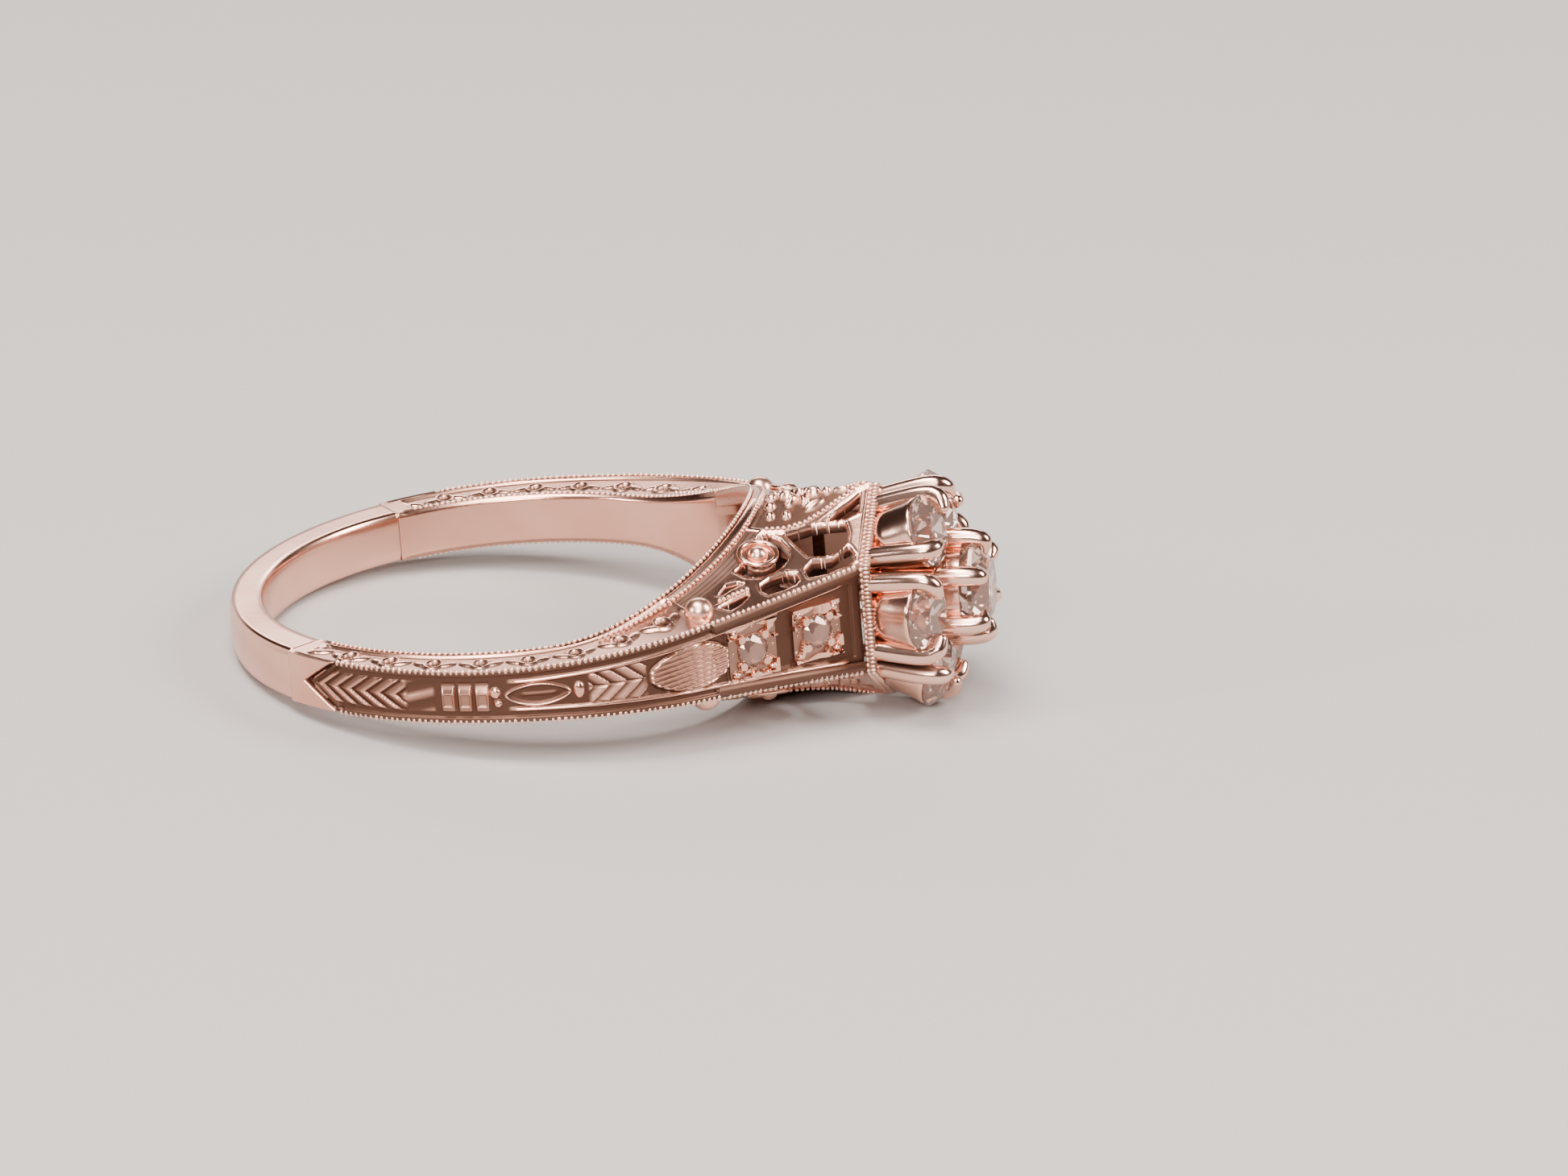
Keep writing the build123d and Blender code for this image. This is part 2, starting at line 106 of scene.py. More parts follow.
def soft_box(name, at, width, height, watts, tint):
    """Rectangular soft box aimed at the middle of the ring."""
    light = bpy.data.lights.new(name, "AREA")
    light.shape = "RECTANGLE"
    light.size = width
    light.size_y = height
    light.energy = watts
    light.color = tint
    lamp = bpy.data.objects.new(name, light)
    place = Vector(at)
    lamp.location = place
    lamp.rotation_euler = (ring_middle - place).to_track_quat("-Z", "Y").to_euler()
    bpy.context.scene.collection.objects.link(lamp)


soft_box("overhead_box", (-0.03, -0.06, 0.42), 0.25, 0.18, 3.2, (1.0, 0.94, 0.91))
soft_box("back_box", (-0.06, 0.46, 0.23), 0.34, 0.07, 0.9, (1.0, 0.92, 0.88))
soft_box("low_back_card", (-0.06, 0.47, 0.09), 0.80, 0.20, 0.50, (1.0, 0.90, 0.86))
soft_box("brow_card", (0.05, -0.27, 0.34), 0.24, 0.20, 1.6, (1.0, 0.94, 0.91))
soft_box("left_front_box", (-0.30, -0.24, 0.20), 0.07, 0.10, 1.0, (1.0, 0.94, 0.92))
soft_box("right_box", (0.33, 0.02, 0.17), 0.12, 0.18, 1.9, (1.0, 0.92, 0.88))
soft_box("front_card", (0.04, -0.40, 0.19), 0.16, 0.05, 1.5, (1.0, 0.93, 0.90))
room = bpy.data.worlds.new("room")
room.use_nodes = True
room.node_tree.nodes["Background"].inputs["Color"].default_value = (0.30, 0.22, 0.20, 1)
room.node_tree.nodes["Background"].inputs["Strength"].default_value = 0.13
bpy.context.scene.world = room

# ---------------------------------------------------------------------------
# Back of the hoop: a plain half-round-edged strip of pale rose gold, rolled up
# to the finger size, polished, and soldered to the engraved arms at each end.
finger_radius = 8.45
outer_radius = 10.5
hoop_growth = 0.85
half_width = 0.88
seam_angle = 128.0
plate_back = 12.8
plate_reach = 3.78
corner_y = plate_reach * np.cos(np.pi / 6)
corner_z = plate_reach * 0.5
corner_angle = np.degrees(np.arctan2(corner_y, plate_back))
corner_gap = np.hypot(plate_back - hoop_growth, corner_y)
tangent_bearing = np.arctan2(corner_y, plate_back - hoop_growth) + np.arccos(outer_radius / corner_gap)
tangent_x = hoop_growth + outer_radius * np.cos(tangent_bearing)
tangent_y = outer_radius * np.sin(tangent_bearing)
tangent_angle = np.degrees(np.arctan2(tangent_y, tangent_x))
shoulder_length = np.sqrt(corner_gap ** 2 - outer_radius ** 2)
shoulder_reach = outer_radius + hoop_growth * np.cos(tangent_bearing)
toward_head = np.array([plate_back - tangent_x, corner_y - tangent_y]) / shoulder_length
into_ring = np.array([-np.cos(tangent_bearing), -np.sin(tangent_bearing)])
mouth_angle = 72.0
mouth_rise = 2.40


def outline_radius(angle):
    """Distance from the finger's axis to the ring's outline at a polar angle in degrees."""
    a = np.radians(np.abs(angle))
    plate = plate_back / np.maximum(np.cos(a), 0.2)
    shoulder = shoulder_reach / np.maximum(np.cos(a - tangent_bearing), 0.2)
    hoop = hoop_growth * np.cos(a) + np.sqrt(outer_radius ** 2 - (hoop_growth * np.sin(a)) ** 2)
    head = np.where(np.abs(angle) <= corner_angle, plate, shoulder)
    return np.where(np.abs(angle) <= tangent_angle, head, hoop)


def outline_height(angle):
    """Half height of the ring's outer edge at a polar angle."""
    a = np.radians(np.abs(angle))
    reach = outline_radius(angle)
    x = np.maximum(reach * np.cos(a), 0.0)
    y = reach * np.sin(a)
    rising = half_width + (corner_z - half_width) * (x / plate_back) ** 2
    edge = plate_reach - (plate_reach - corner_z) * y / corner_y
    return np.where(np.abs(angle) <= corner_angle, edge, rising)


def finger_height(angle):
    """Half height of the edge round the finger, taller at the open mouth of the head."""
    share = np.minimum(np.abs(angle), mouth_angle) / mouth_angle
    return half_width + mouth_rise * np.cos(0.5 * np.pi * share) ** 2


def top_height(x, y):
    """Height of the ring's upper surface over a plan point."""
    angle = np.degrees(np.arctan2(np.abs(y), x))
    share = (np.hypot(x, y) - finger_radius) / (outline_radius(angle) - finger_radius)
    return finger_height(angle) * (1 - share) + outline_height(angle) * share


def polished_gold(name, tone, roughness, scratch, rim_shade=False):
    """Rose gold: two close tones, fine scratches, and dark brown where a piece's per-point darkening says so
    (painted shade in hollows, gaps and undersides, with old patina in the engraving).
    """
    finish = bpy.data.materials.new(name)
    finish.use_nodes = True
    nodes = finish.node_tree.nodes
    link = finish.node_tree.links.new
    shader = nodes["Principled BSDF"]
    shader.inputs["Metallic"].default_value = 1.0
    place = nodes.new("ShaderNodeTexCoord")
    cloud = nodes.new("ShaderNodeTexNoise")
    cloud.inputs["Scale"].default_value = 420.0
    cloud.inputs["Detail"].default_value = 5.0
    link(place.outputs["Object"], cloud.inputs["Vector"])
    tones = nodes.new("ShaderNodeValToRGB")
    tones.color_ramp.elements[0].position = 0.34
    tones.color_ramp.elements[0].color = (tone[0] * 0.90, tone[1] * 0.84, tone[2] * 0.80, 1)
    tones.color_ramp.elements[1].position = 0.66
    tones.color_ramp.elements[1].color = (tone[0], tone[1], tone[2], 1)
    link(cloud.outputs["Fac"], tones.inputs["Fac"])
    # Per-point darkening: mixes toward dark brown and raises the roughness. It is painted shade, with old
    # patina in the engraving.
    cut = nodes.new("ShaderNodeAttribute")
    cut.attribute_name = "shade_and_patina"
    darken = nodes.new("ShaderNodeMix")
    darken.data_type = "RGBA"
    link(cut.outputs["Fac"], darken.inputs["Factor"])
    # Optionally darken faces turned away from the X axis instead: painted shade on a plate's edges.
    if rim_shade:
        facing = nodes.new("ShaderNodeSeparateXYZ")
        link(place.outputs["Normal"], facing.inputs["Vector"])
        along_axis = nodes.new("ShaderNodeMath")
        along_axis.operation = "ABSOLUTE"
        link(facing.outputs["X"], along_axis.inputs[0])
        rim_shade_range = nodes.new("ShaderNodeMapRange")
        rim_shade_range.inputs["From Min"].default_value = 0.1
        rim_shade_range.inputs["From Max"].default_value = 0.5
        rim_shade_range.inputs["To Min"].default_value = 0.8
        rim_shade_range.inputs["To Max"].default_value = 0.0
        link(along_axis.outputs["Value"], rim_shade_range.inputs["Value"])
        link(rim_shade_range.outputs["Result"], darken.inputs["Factor"])
    link(tones.outputs["Color"], darken.inputs["A"])
    darken.inputs["B"].default_value = (0.060, 0.027, 0.017, 1)
    link(darken.outputs["Result"], shader.inputs["Base Color"])
    stretch = nodes.new("ShaderNodeMapping")
    stretch.inputs["Scale"].default_value = (900.0, 5200.0, 5200.0)
    stretch.inputs["Rotation"].default_value = (0.2, 0.5, 0.4)
    link(place.outputs["Object"], stretch.inputs["Vector"])
    scuff = nodes.new("ShaderNodeTexNoise")
    scuff.inputs["Scale"].default_value = 1.0
    scuff.inputs["Detail"].default_value = 4.0
    link(stretch.outputs["Vector"], scuff.inputs["Vector"])
    dull = nodes.new("ShaderNodeMapRange")
    dull.inputs["To Min"].default_value = roughness * 0.75
    dull.inputs["To Max"].default_value = roughness * 1.6
    link(cloud.outputs["Fac"], dull.inputs["Value"])
    duller = nodes.new("ShaderNodeMath")
    duller.operation = "MULTIPLY_ADD"
    duller.inputs[1].default_value = 0.30
    link(cut.outputs["Fac"], duller.inputs[0])
    link(dull.outputs["Result"], duller.inputs[2])
    link(duller.outputs["Value"], shader.inputs["Roughness"])
    bump = nodes.new("ShaderNodeBump")
    bump.inputs["Strength"].default_value = scratch
    bump.inputs["Distance"].default_value = 0.00001
    link(scuff.outputs["Fac"], bump.inputs["Height"])
    link(bump.outputs["Normal"], shader.inputs["Normal"])
    return finish


millimetre = 0.001


def cast(name, points, faces, finish, shade_and_patina=None):
    """Piece of the ring from points in millimetres."""
    mesh = bpy.data.meshes.new(name)
    corners = (np.asarray(points, dtype=float) * millimetre).tolist()
    mesh.from_pydata(corners, [], [tuple(int(i) for i in face) for face in faces])
    mesh.shade_smooth()
    # Per-point darkening for the material: painted shade, with old patina in the engraving.
    if shade_and_patina is not None:
        shade = mesh.attributes.new("shade_and_patina", "FLOAT", "POINT")
        shade.data.foreach_set("value", np.clip(np.asarray(shade_and_patina, dtype=np.float32).ravel(), 0, 1))
    mesh.materials.append(finish)
    piece = bpy.data.objects.new(name, mesh)
    bpy.context.scene.collection.objects.link(piece)
    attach(piece, "root")
    return piece


def band_faces(rows, around):
    """Quads of a tube of rows, each a closed ring of points, with its ends filled."""
    i = np.arange(rows - 1)[:, None] * around
    j = np.arange(around)[None, :]
    k = (j + 1) % around
    quads = np.stack([i + j, i + k, i + around + k, i + around + j], axis=-1).reshape(-1, 4).tolist()
    quads.append(list(range(around - 1, -1, -1)))
    quads.append([(rows - 1) * around + n for n in range(around)])
    return quads


plain_gold = polished_gold("rose_gold_polished", (0.90, 0.52, 0.40), 0.18, 0.25)
shank_angles = np.radians(np.linspace(seam_angle, 360 - seam_angle, 181))
outside_crown = 0.09
edge_round = 0.05
side_top = outside_crown + edge_round
side_foot = 0.10
shank_rows = []
for a in shank_angles:
    outer = outline_radius(np.degrees(min(a, 2 * np.pi - a)))
    side_depth = outer - side_top - finger_radius - side_foot
    section = []
    for t in np.linspace(-1, 1, 15):
        rounded = edge_round if abs(t) == 1 else 0.0
        section.append((outer - outside_crown * t ** 2 - rounded, half_width * 0.955 * t))
    for t in np.linspace(0, 1, 7):
        section.append((outer - side_top - side_depth * t, half_width))
    for t in np.linspace(1, -1, 11):
        section.append((finger_radius + edge_round * t ** 8, half_width * 0.93 * t))
    for t in np.linspace(1, 0, 7):
        section.append((outer - side_top - side_depth * t, -half_width))
    shank_rows.append([(r * np.cos(a), r * np.sin(a), z) for r, z in section])
shank_rows = np.array(shank_rows)
shank = cast("hoop_back", shank_rows.reshape(-1, 3), band_faces(*shank_rows.shape[:2]), plain_gold)
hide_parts("back_shank")

# ---------------------------------------------------------------------------
# Engraved arms: cast rose gold, cut by hand. The outer face is sunk between its
# borders and carries an arrow, wheat ears, steps, a lancet and a hatched leaf;
# the side faces carry drilled dots between petals. Soldered to hoop and head.
engraved_gold = polished_gold("rose_gold_engraved", (0.91, 0.50, 0.375), 0.18, 0.35)
arrow_point = 21.25
step_middles = (14.24, 14.83, 15.42)
wheat_pitch = 0.60
leaf_pitch = 0.58
hatch_pitch = 0.17
dot_pitch = 1.80
petal_tilt = 0.55


def groove(x, half):
    """V-shaped cut, 1 on its line and 0 at its edges."""
    return np.clip(1 - np.abs(x) / half, 0, 1)


def dome(x, y, half_x, half_y):
    """Low round mound over an oval."""
    return np.sqrt(np.clip(1 - (x / half_x) ** 2 - (y / half_y) ** 2, 0, 1))


def between(x, low, high, soft=0.04):
    """1 between two values, with soft shoulders."""
    return np.clip((x - low) / soft, 0, 1) * np.clip((high - x) / soft, 0, 1)


def outer_face_cut(back, z, half):
    """Depth of the engraving, and its darkness, at a distance back from the head and a height. The darkness
    is painted shade with old patina in the recesses, and painted shade on the sunk half of each wheat grain
    and the lower face of each step.
    """
    edge = half - np.abs(z)
    arrow = (arrow_point - back) * 0.62 - np.abs(z)
    inside = np.clip(arrow / 0.03, 0, 1)
    border = np.clip((edge - 0.15) / 0.04, 0, 1)
    field_half = half - 0.36
    field = np.clip((edge - 0.34) / 0.05, 0, 1)
    depth = 0.04 + 0.10 * border
    wire = between(back, 0.6, 13.4, 0.3)
    depth -= wire * 0.12 * np.sqrt(groove(edge - 0.42, 0.075))
    body = np.clip((edge - 0.50) / 0.05, 0, 1)
    # Painted shade on the sunk half of each wheat grain and below the top of each step.
    painted_shade = np.zeros_like(z)

    wheat = between(back, 16.9, 20.9, 0.15) * field
    grain = ((back + 1.5 * np.abs(z)) / wheat_pitch) % 1.0
    depth += wheat * (0.13 * grain - 0.09)
    painted_shade = np.maximum(painted_shade, 0.78 * wheat * np.clip((grain - 0.16) / 0.2, 0, 1))
    fan = between(back, 15.9, 17.2, 0.1) * field
    depth += fan * (0.08 * np.abs(np.sin(4.5 * z + 1.2 * (back - 16.6))) - 0.06)
    for middle in step_middles:
        block = between(back, middle - 0.25, middle + 0.25, 0.05) * between(np.abs(z), -1, field_half, 0.04)
        hollow = between(back, middle - 0.17, middle + 0.17, 0.04) * between(z, -0.34, 0.12, 0.05)
        slope = 0.55 * np.clip(z - 0.16, 0, 0.3) + 0.30 * np.clip(-z - 0.36, 0, 0.3)
        depth -= block * (0.14 - slope) - hollow * 0.07
        painted_shade = np.maximum(painted_shade, 0.62 * block * np.clip((0.14 - z) / 0.06, 0, 1))
    depth -= 0.16 * dome(back - 13.80, z - 0.12, 0.19, 0.20) * field
    depth -= 0.14 * dome(back - 13.72, z + 0.26, 0.15, 0.14) * field
    along = np.clip((back - 11.25) / 2.2, 0, 1)
    lancet = 0.36 * np.sin(np.pi * along) ** 0.65
    rim = groove(np.abs(z) - lancet, 0.07) * between(back, 11.2, 13.5, 0.05)
    depth -= 0.11 * rim
    depth += 0.04 * between(back, 11.3, 13.4, 0.1) * np.clip((lancet - np.abs(z)) / 0.12, 0, 1)
    depth -= 0.05 * between(back, 11.6, 13.0, 0.2) * groove(z, 0.08)
    depth -= 0.14 * dome(back - 10.95, z, 0.19, 0.30) * body
    leaf = between(back, 8.55, 10.65, 0.1) * body
    stroke = ((back - 1.25 * np.abs(z - 0.05)) / leaf_pitch) % 1.0
    depth += leaf * (0.12 * stroke - 0.09)
    depth += leaf * 0.05 * groove(z - 0.05, 0.05)
    leaf_half = np.clip(half - 0.46, 0.2, 2) * np.sin(np.pi * np.clip((back - 5.3) / 3.2, 0, 1)) ** 0.45
    hatched = np.clip((leaf_half - np.abs(z)) / 0.05, 0, 1) * between(back, 5.4, 8.45, 0.05)
    lines = np.abs(((z + 0.10 * (back - 7.0)) / hatch_pitch) % 1.0 - 0.5) * 2
    depth += hatched * (0.10 * lines - 0.15)
    depth += 0.06 * between(back, 5.4, 8.45, 0.05) * groove(np.abs(z) - leaf_half, 0.06)
    plain = 1 - between(back, -0.4, 21.9, 0.02)
    depth = np.maximum(depth, 0.0) * inside * (1 - plain)
    depth += 0.15 * groove(arrow - 0.05, 0.07) * between(back, 19.6, 21.4, 0.1)
    depth += 0.06 * groove(arrow - 0.30, 0.06) * between(back, 17.5, 21.0, 0.1) * inside * (edge > 0.1)
    # Darker the deeper the cut, and in the groove under the border: painted shade, with old patina in the
    # recesses.
    dark = np.clip((depth - 0.05) / 0.09, 0, 1) * 0.93
    recess = 0.33 - 0.03 * np.clip((5.8 - back) / 0.6, 0, 1)
    dark = np.maximum(dark, 0.90 * np.clip((recess - edge) / 0.05, 0, 1) * inside * (1 - plain))
    return depth, np.maximum(dark, painted_shade * inside)


def side_face_cut(along, across, width):
    """Depth and darkness of the cuts on a side face: drilled dots between pairs of petals. The darkness is
    painted shade in the holes and along the seats under the milgrain, and painted shade with old patina on
    the sunk ground.
    """
    phase = (along + 0.35) % dot_pitch - dot_pitch / 2
    middle = 0.52 * width
    seat = np.maximum(np.clip((0.19 - across) / 0.03, 0, 1), np.clip((across - width + 0.18) / 0.03, 0, 1))
    seat *= np.clip((15.3 - along) / 0.3, 0, 1)
    depth = 0.045 * seat
    petal = np.zeros_like(across)
    show = np.clip((along + 0.6) / 0.3, 0, 1) * np.clip((14.8 - along) / 0.3, 0, 1)
    for hand in (-1, 1):
        beside = phase - hand * 0.52
        u = beside * np.cos(petal_tilt) + hand * (across - middle) * np.sin(petal_tilt)
        w = -hand * beside * np.sin(petal_tilt) + (across - middle) * np.cos(petal_tilt)
        petal = np.maximum(petal, dome(u, w, 0.40, 0.20))
    ring_wall = groove(np.hypot(phase, (across - middle) * 0.85) - 0.33, 0.13)
    ground = show * (1 - np.maximum(petal, ring_wall)) * np.clip((across - 0.24) / 0.06, 0, 1)
    ground *= np.clip((width - 0.24 - across) / 0.06, 0, 1)
    depth += 0.09 * ground
    hole = dome(phase, across - middle, 0.23, 0.27)
    depth += show * 0.17 * hole
    # Painted shade in the holes and seats; painted shade with old patina on the ground.
    dark = np.clip(0.97 * show * np.clip(hole * 1.8, 0, 1) + 0.94 * seat + 0.42 * ground, 0, 1)
    return np.maximum(depth, 0.0), dark


def arc_back(angle):
    """Distance back from the head along the outline of an arm, at a polar angle."""
    reach = outline_radius(angle)
    x = reach * np.cos(np.radians(angle))
    y = reach * np.sin(np.radians(angle))
    bearing = np.arctan2(y, x - hoop_growth)
    straight = (plate_back - x) * toward_head[0] + (corner_y - y) * toward_head[1]
    bent = shoulder_length + outer_radius * (bearing - tangent_bearing)
    return np.where(angle <= tangent_angle, straight, bent)


def mirror_y(points, faces):
    """The same piece on the other hand of the ring."""
    flipped = np.array(points, dtype=float)
    flipped[:, 1] *= -1
    return flipped, [list(f)[::-1] for f in faces]


arm_angles = np.linspace(41.0, seam_angle, 600)
inner_count = 9
arm_points = []
arm_shade_and_patina = []
for angle in arm_angles:
    a = np.radians(angle)
    reach = float(outline_radius(angle))
    half = float(outline_height(angle))
    rim = float(finger_height(angle))
    back = float(arc_back(angle))
    radial = np.array([np.cos(a), np.sin(a)])
    spot = radial * reach
    if angle <= tangent_angle:
        outward = -into_ring
    else:
        outward = spot - np.array([hoop_growth, 0.0])
        outward = outward / np.linalg.norm(outward)
    width = reach - finger_radius
    z = np.linspace(-half, half, 76)
    cut, dark = outer_face_cut(np.full_like(z, back), z, half)
    face = np.stack([spot[0] - outward[0] * cut, spot[1] - outward[1] * cut, z], axis=1)
    across = np.linspace(0, width, 46)[1:-1]
    side_cut, side_dark = side_face_cut(np.full_like(across, back - shoulder_length), across, width)
    ground = radial[None, :] * (reach - across)[:, None]
    level = half + (rim - half) * across / width
    slope = (rim - half) / width
    lean = 1 / np.sqrt(1 + slope ** 2)
    top = np.stack([
        ground[:, 0] - radial[0] * side_cut * slope * lean,
        ground[:, 1] - radial[1] * side_cut * slope * lean,
        level - side_cut * lean,
    ], axis=1)
    inner = np.array([(*(radial * finger_radius), level) for level in np.linspace(rim, -rim, inner_count)])
    bottom = top[::-1] * np.array([1, 1, -1])
    arm_points.append(np.concatenate([face, top, inner, bottom]))
    # Darkening per point: painted shade, with old patina in the engraving; the finger side is left bright.
    arm_shade_and_patina.append(np.concatenate([dark, side_dark, np.zeros(inner_count), side_dark[::-1]]))
arm_points = np.array(arm_points)
arm_faces = [face[::-1] for face in band_faces(*arm_points.shape[:2])]
for hand, word in ((1, "left"), (-1, "right")):
    points, faces = arm_points.reshape(-1, 3), arm_faces
    if hand == -1:
        points, faces = mirror_y(points, faces)
    arm = cast("engraved_arm_%s" % word, points, faces, engraved_gold, np.array(arm_shade_and_patina))
    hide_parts("%s_arm" % word)

# ---------------------------------------------------------------------------
# Shoulder plates: the outer walls of the hollow head, cut from the same gold and
# engraved like the arms they run into. Each has two square openings for stones.
shoulder_thick = 0.30
stone_backs = (1.8, 4.4)
square_half = 0.95
seat_half = 0.93
frame_half = 1.05
back_steps = np.linspace(0.0, 6.05, 200)
height_steps = np.linspace(-1, 1, 96)
plate_points = []
plate_shade_and_patina = []
for back in back_steps:
    spot = np.array([plate_back, corner_y]) - toward_head * back
    half = float(outline_height(np.degrees(np.arctan2(spot[1], spot[0]))))
    z = half * height_steps
    cut, dark = outer_face_cut(np.full_like(z, back), z, half)
    for middle in stone_backs:
        seat = between(back, middle - seat_half, middle + seat_half, 0.03)
        seat = seat * between(z, -seat_half, seat_half, 0.03)
        cut = np.maximum(cut, 0.26 * seat)
        framed = np.maximum(abs(back - middle), np.abs(z)) < frame_half
        cut = np.where(framed & (seat == 0), np.minimum(cut, 0.03), cut)
    gap = between(back, 0.30, 5.45, 0.04) * np.clip((half - 0.52 - np.abs(z)) / 0.04, 0, 1)
    cut = np.where(cut < 0.25, np.maximum(cut, 0.24 * gap), cut)
    # The sunk band between the stones is darkened: painted shade.
    dark = np.maximum(dark, 0.92 * gap)
    front = np.stack([spot[0] + into_ring[0] * cut, spot[1] + into_ring[1] * cut, z], axis=1)
    thick = np.where(np.abs(z) > half - 0.5, 0.16, shoulder_thick)
    rear = np.stack([spot[0] + into_ring[0] * thick, spot[1] + into_ring[1] * thick, z * 0.985], axis=1)
    rear = rear[::-8]
    plate_points.append(np.concatenate([front, rear]))
    # The inner face of each plate is darkened: painted shade.
    plate_shade_and_patina.append(np.concatenate([dark, np.full(len(rear), 0.85)]))
plate_points = np.array(plate_points)
plate_faces = band_faces(*plate_points.shape[:2])
for hand, word in ((1, "left"), (-1, "right")):
    points, faces = plate_points.reshape(-1, 3), plate_faces
    if hand == -1:
        points, faces = mirror_y(points, faces)
    plate = cast("shoulder_plate_%s" % word, points, faces, engraved_gold, np.array(plate_shade_and_patina))
    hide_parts("%s_shoulder" % word)

# ---------------------------------------------------------------------------
# Star-cut plaques: little squares of gold let into the shoulders, bright-cut in
# short uneven facets from the stone to the rim, with a grain in each corner.
star_gold = polished_gold("rose_gold_bright_cut", (0.95, 0.57, 0.44), 0.11, 0.25)
shoulder_stone = 1.15
facet_count = 22
plaque_lines = 77
plaque_deep = 0.75


def plaque_surface(u, v, hand_work):
    """Height and darkness of the bright-cut square, u along the shoulder and v up."""
    chip_at = hand_work.uniform(-square_half, square_half, (facet_count, 2))
    chip_tilt = hand_work.normal(0.0, 1.15, (facet_count, 2))
    chip = np.argmin((u[..., None] - chip_at[:, 0]) ** 2 + (v[..., None] - chip_at[:, 1]) ** 2, axis=-1)
    facet = chip_tilt[chip, 0] * (u - chip_at[chip, 0]) + chip_tilt[chip, 1] * (v - chip_at[chip, 1])
    reach = np.hypot(u, v)
    bearing = np.arctan2(v, u)
    ridge = np.abs(np.sin(2 * bearing)) ** 1.3
    ray = np.abs(((bearing * 12 / np.pi) % 1.0) - 0.5)
    height = -0.42 + 0.26 * ridge * np.clip((reach - 0.40) / 0.30, 0, 1) + 0.05 * ray
    height += np.clip(1.4 * facet, -0.26, 0.26) * np.clip((reach - 0.52) / 0.10, 0, 1)
    height += 0.10 * between(np.abs(u), 0.80, 0.96, 0.05) * np.abs(((v + 0.2) / 0.38) % 1.0 - 0.5)
    bar = 0.82 + 0.07 * np.sin(5.0 * u + 1.3) * np.sign(v)
    height = np.where(np.abs(v) > bar, -0.05 + 0.40 * np.clip(facet, -0.12, 0.12), height)
    height = np.where(reach < 0.60, -0.26 + 0.16 * np.clip((reach - 0.48) / 0.08, 0, 1), height)
    for turn in range(4):
        a = np.radians(90 * turn + 45)
        grain = dome(u - 0.66 * np.cos(a), v - 0.66 * np.sin(a), 0.17, 0.17)
        corner_leaf = dome(u - 1.02 * np.cos(a), v - 1.02 * np.sin(a), 0.17, 0.13)
        side = a + np.pi / 4
        side_grain = dome(u - 0.805 * np.cos(side), v - 0.805 * np.sin(side), 0.12, 0.12)
        height = np.maximum(height, -0.16 + 0.30 * grain)
        height = np.maximum(height, -0.22 + 0.24 * corner_leaf)
        height = np.maximum(height, -0.30 + 0.16 * side_grain)
    height = np.minimum(height, 0.0)
    # Darker the deeper the cut: painted shade, with old patina in the hollows.
    dark = np.clip((-0.09 - height) / 0.10, 0, 1) * 0.96
    return height, dark


def shoulder_place(back, hand):
    """Middle of a setting on a shoulder, with its along, up and outward directions."""
    spot = np.array([plate_back, corner_y]) - toward_head * back
    along = np.array([toward_head[0], toward_head[1] * hand, 0.0])
    outward = np.array([-into_ring[0], -into_ring[1] * hand, 0.0])
    return np.array([spot[0], spot[1] * hand, 0.0]), along, np.array([0.0, 0.0, 1.0]), outward


def grid_faces(rows, columns):
    """Quads of an open sheet of points."""
    i = np.arange(rows - 1)[:, None] * columns
    j = np.arange(columns - 1)[None, :]
    quads = np.stack([i + j, i + j + 1, i + columns + j + 1, i + columns + j], axis=-1)
    return quads.reshape(-1, 4).tolist()


def boundary(faces):
    """Directed edges that only one face has."""
    seen = {}
    for face in faces:
        for n in range(len(face)):
            edge = (face[n], face[(n + 1) % len(face)])
            if (edge[1], edge[0]) in seen:
                del seen[(edge[1], edge[0])]
            else:
                seen[edge] = True
    return list(seen)


def thicken(top, bottom, faces):
    """Closed sheet from a top and a bottom copy of the same faces."""
    count = len(top)
    walls = [[a, a + count, b + count, b] for a, b in boundary(faces)]
    under = [[n + count for n in face][::-1] for face in faces]
    return np.concatenate([top, bottom]), [list(face) for face in faces] + under + walls


plaque_side = np.linspace(-square_half, square_half, plaque_lines)
grid_u, grid_v = np.meshgrid(plaque_side, plaque_side)
graver = np.random.default_rng(7)
for hand, word in ((1, "left"), (-1, "right")):
    for number, back in enumerate(stone_backs, start=1):
        plaque_height, plaque_dark = plaque_surface(grid_u, grid_v, graver)
        middle, along, up, outward = shoulder_place(back, hand)
        flat = middle + grid_u[..., None] * along + grid_v[..., None] * up
        front = (flat + plaque_height[..., None] * outward).reshape(-1, 3)
        rear = (flat - plaque_deep * outward).reshape(-1, 3)
        faces = grid_faces(plaque_lines, plaque_lines)
        if hand == 1:
            faces = [face[::-1] for face in faces]
        points, faces = thicken(front, rear, faces)
        # The back of each plaque is darkened: painted shade.
        shade_and_patina = np.concatenate([plaque_dark.ravel(), np.full(plaque_dark.size, 0.80)])
        plaque = cast("star_plaque_%s_%d" % (word, number), points, faces, star_gold, shade_and_patina)
        plaque.data.shade_flat()
        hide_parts("%s_plaque_%d" % (word, number))

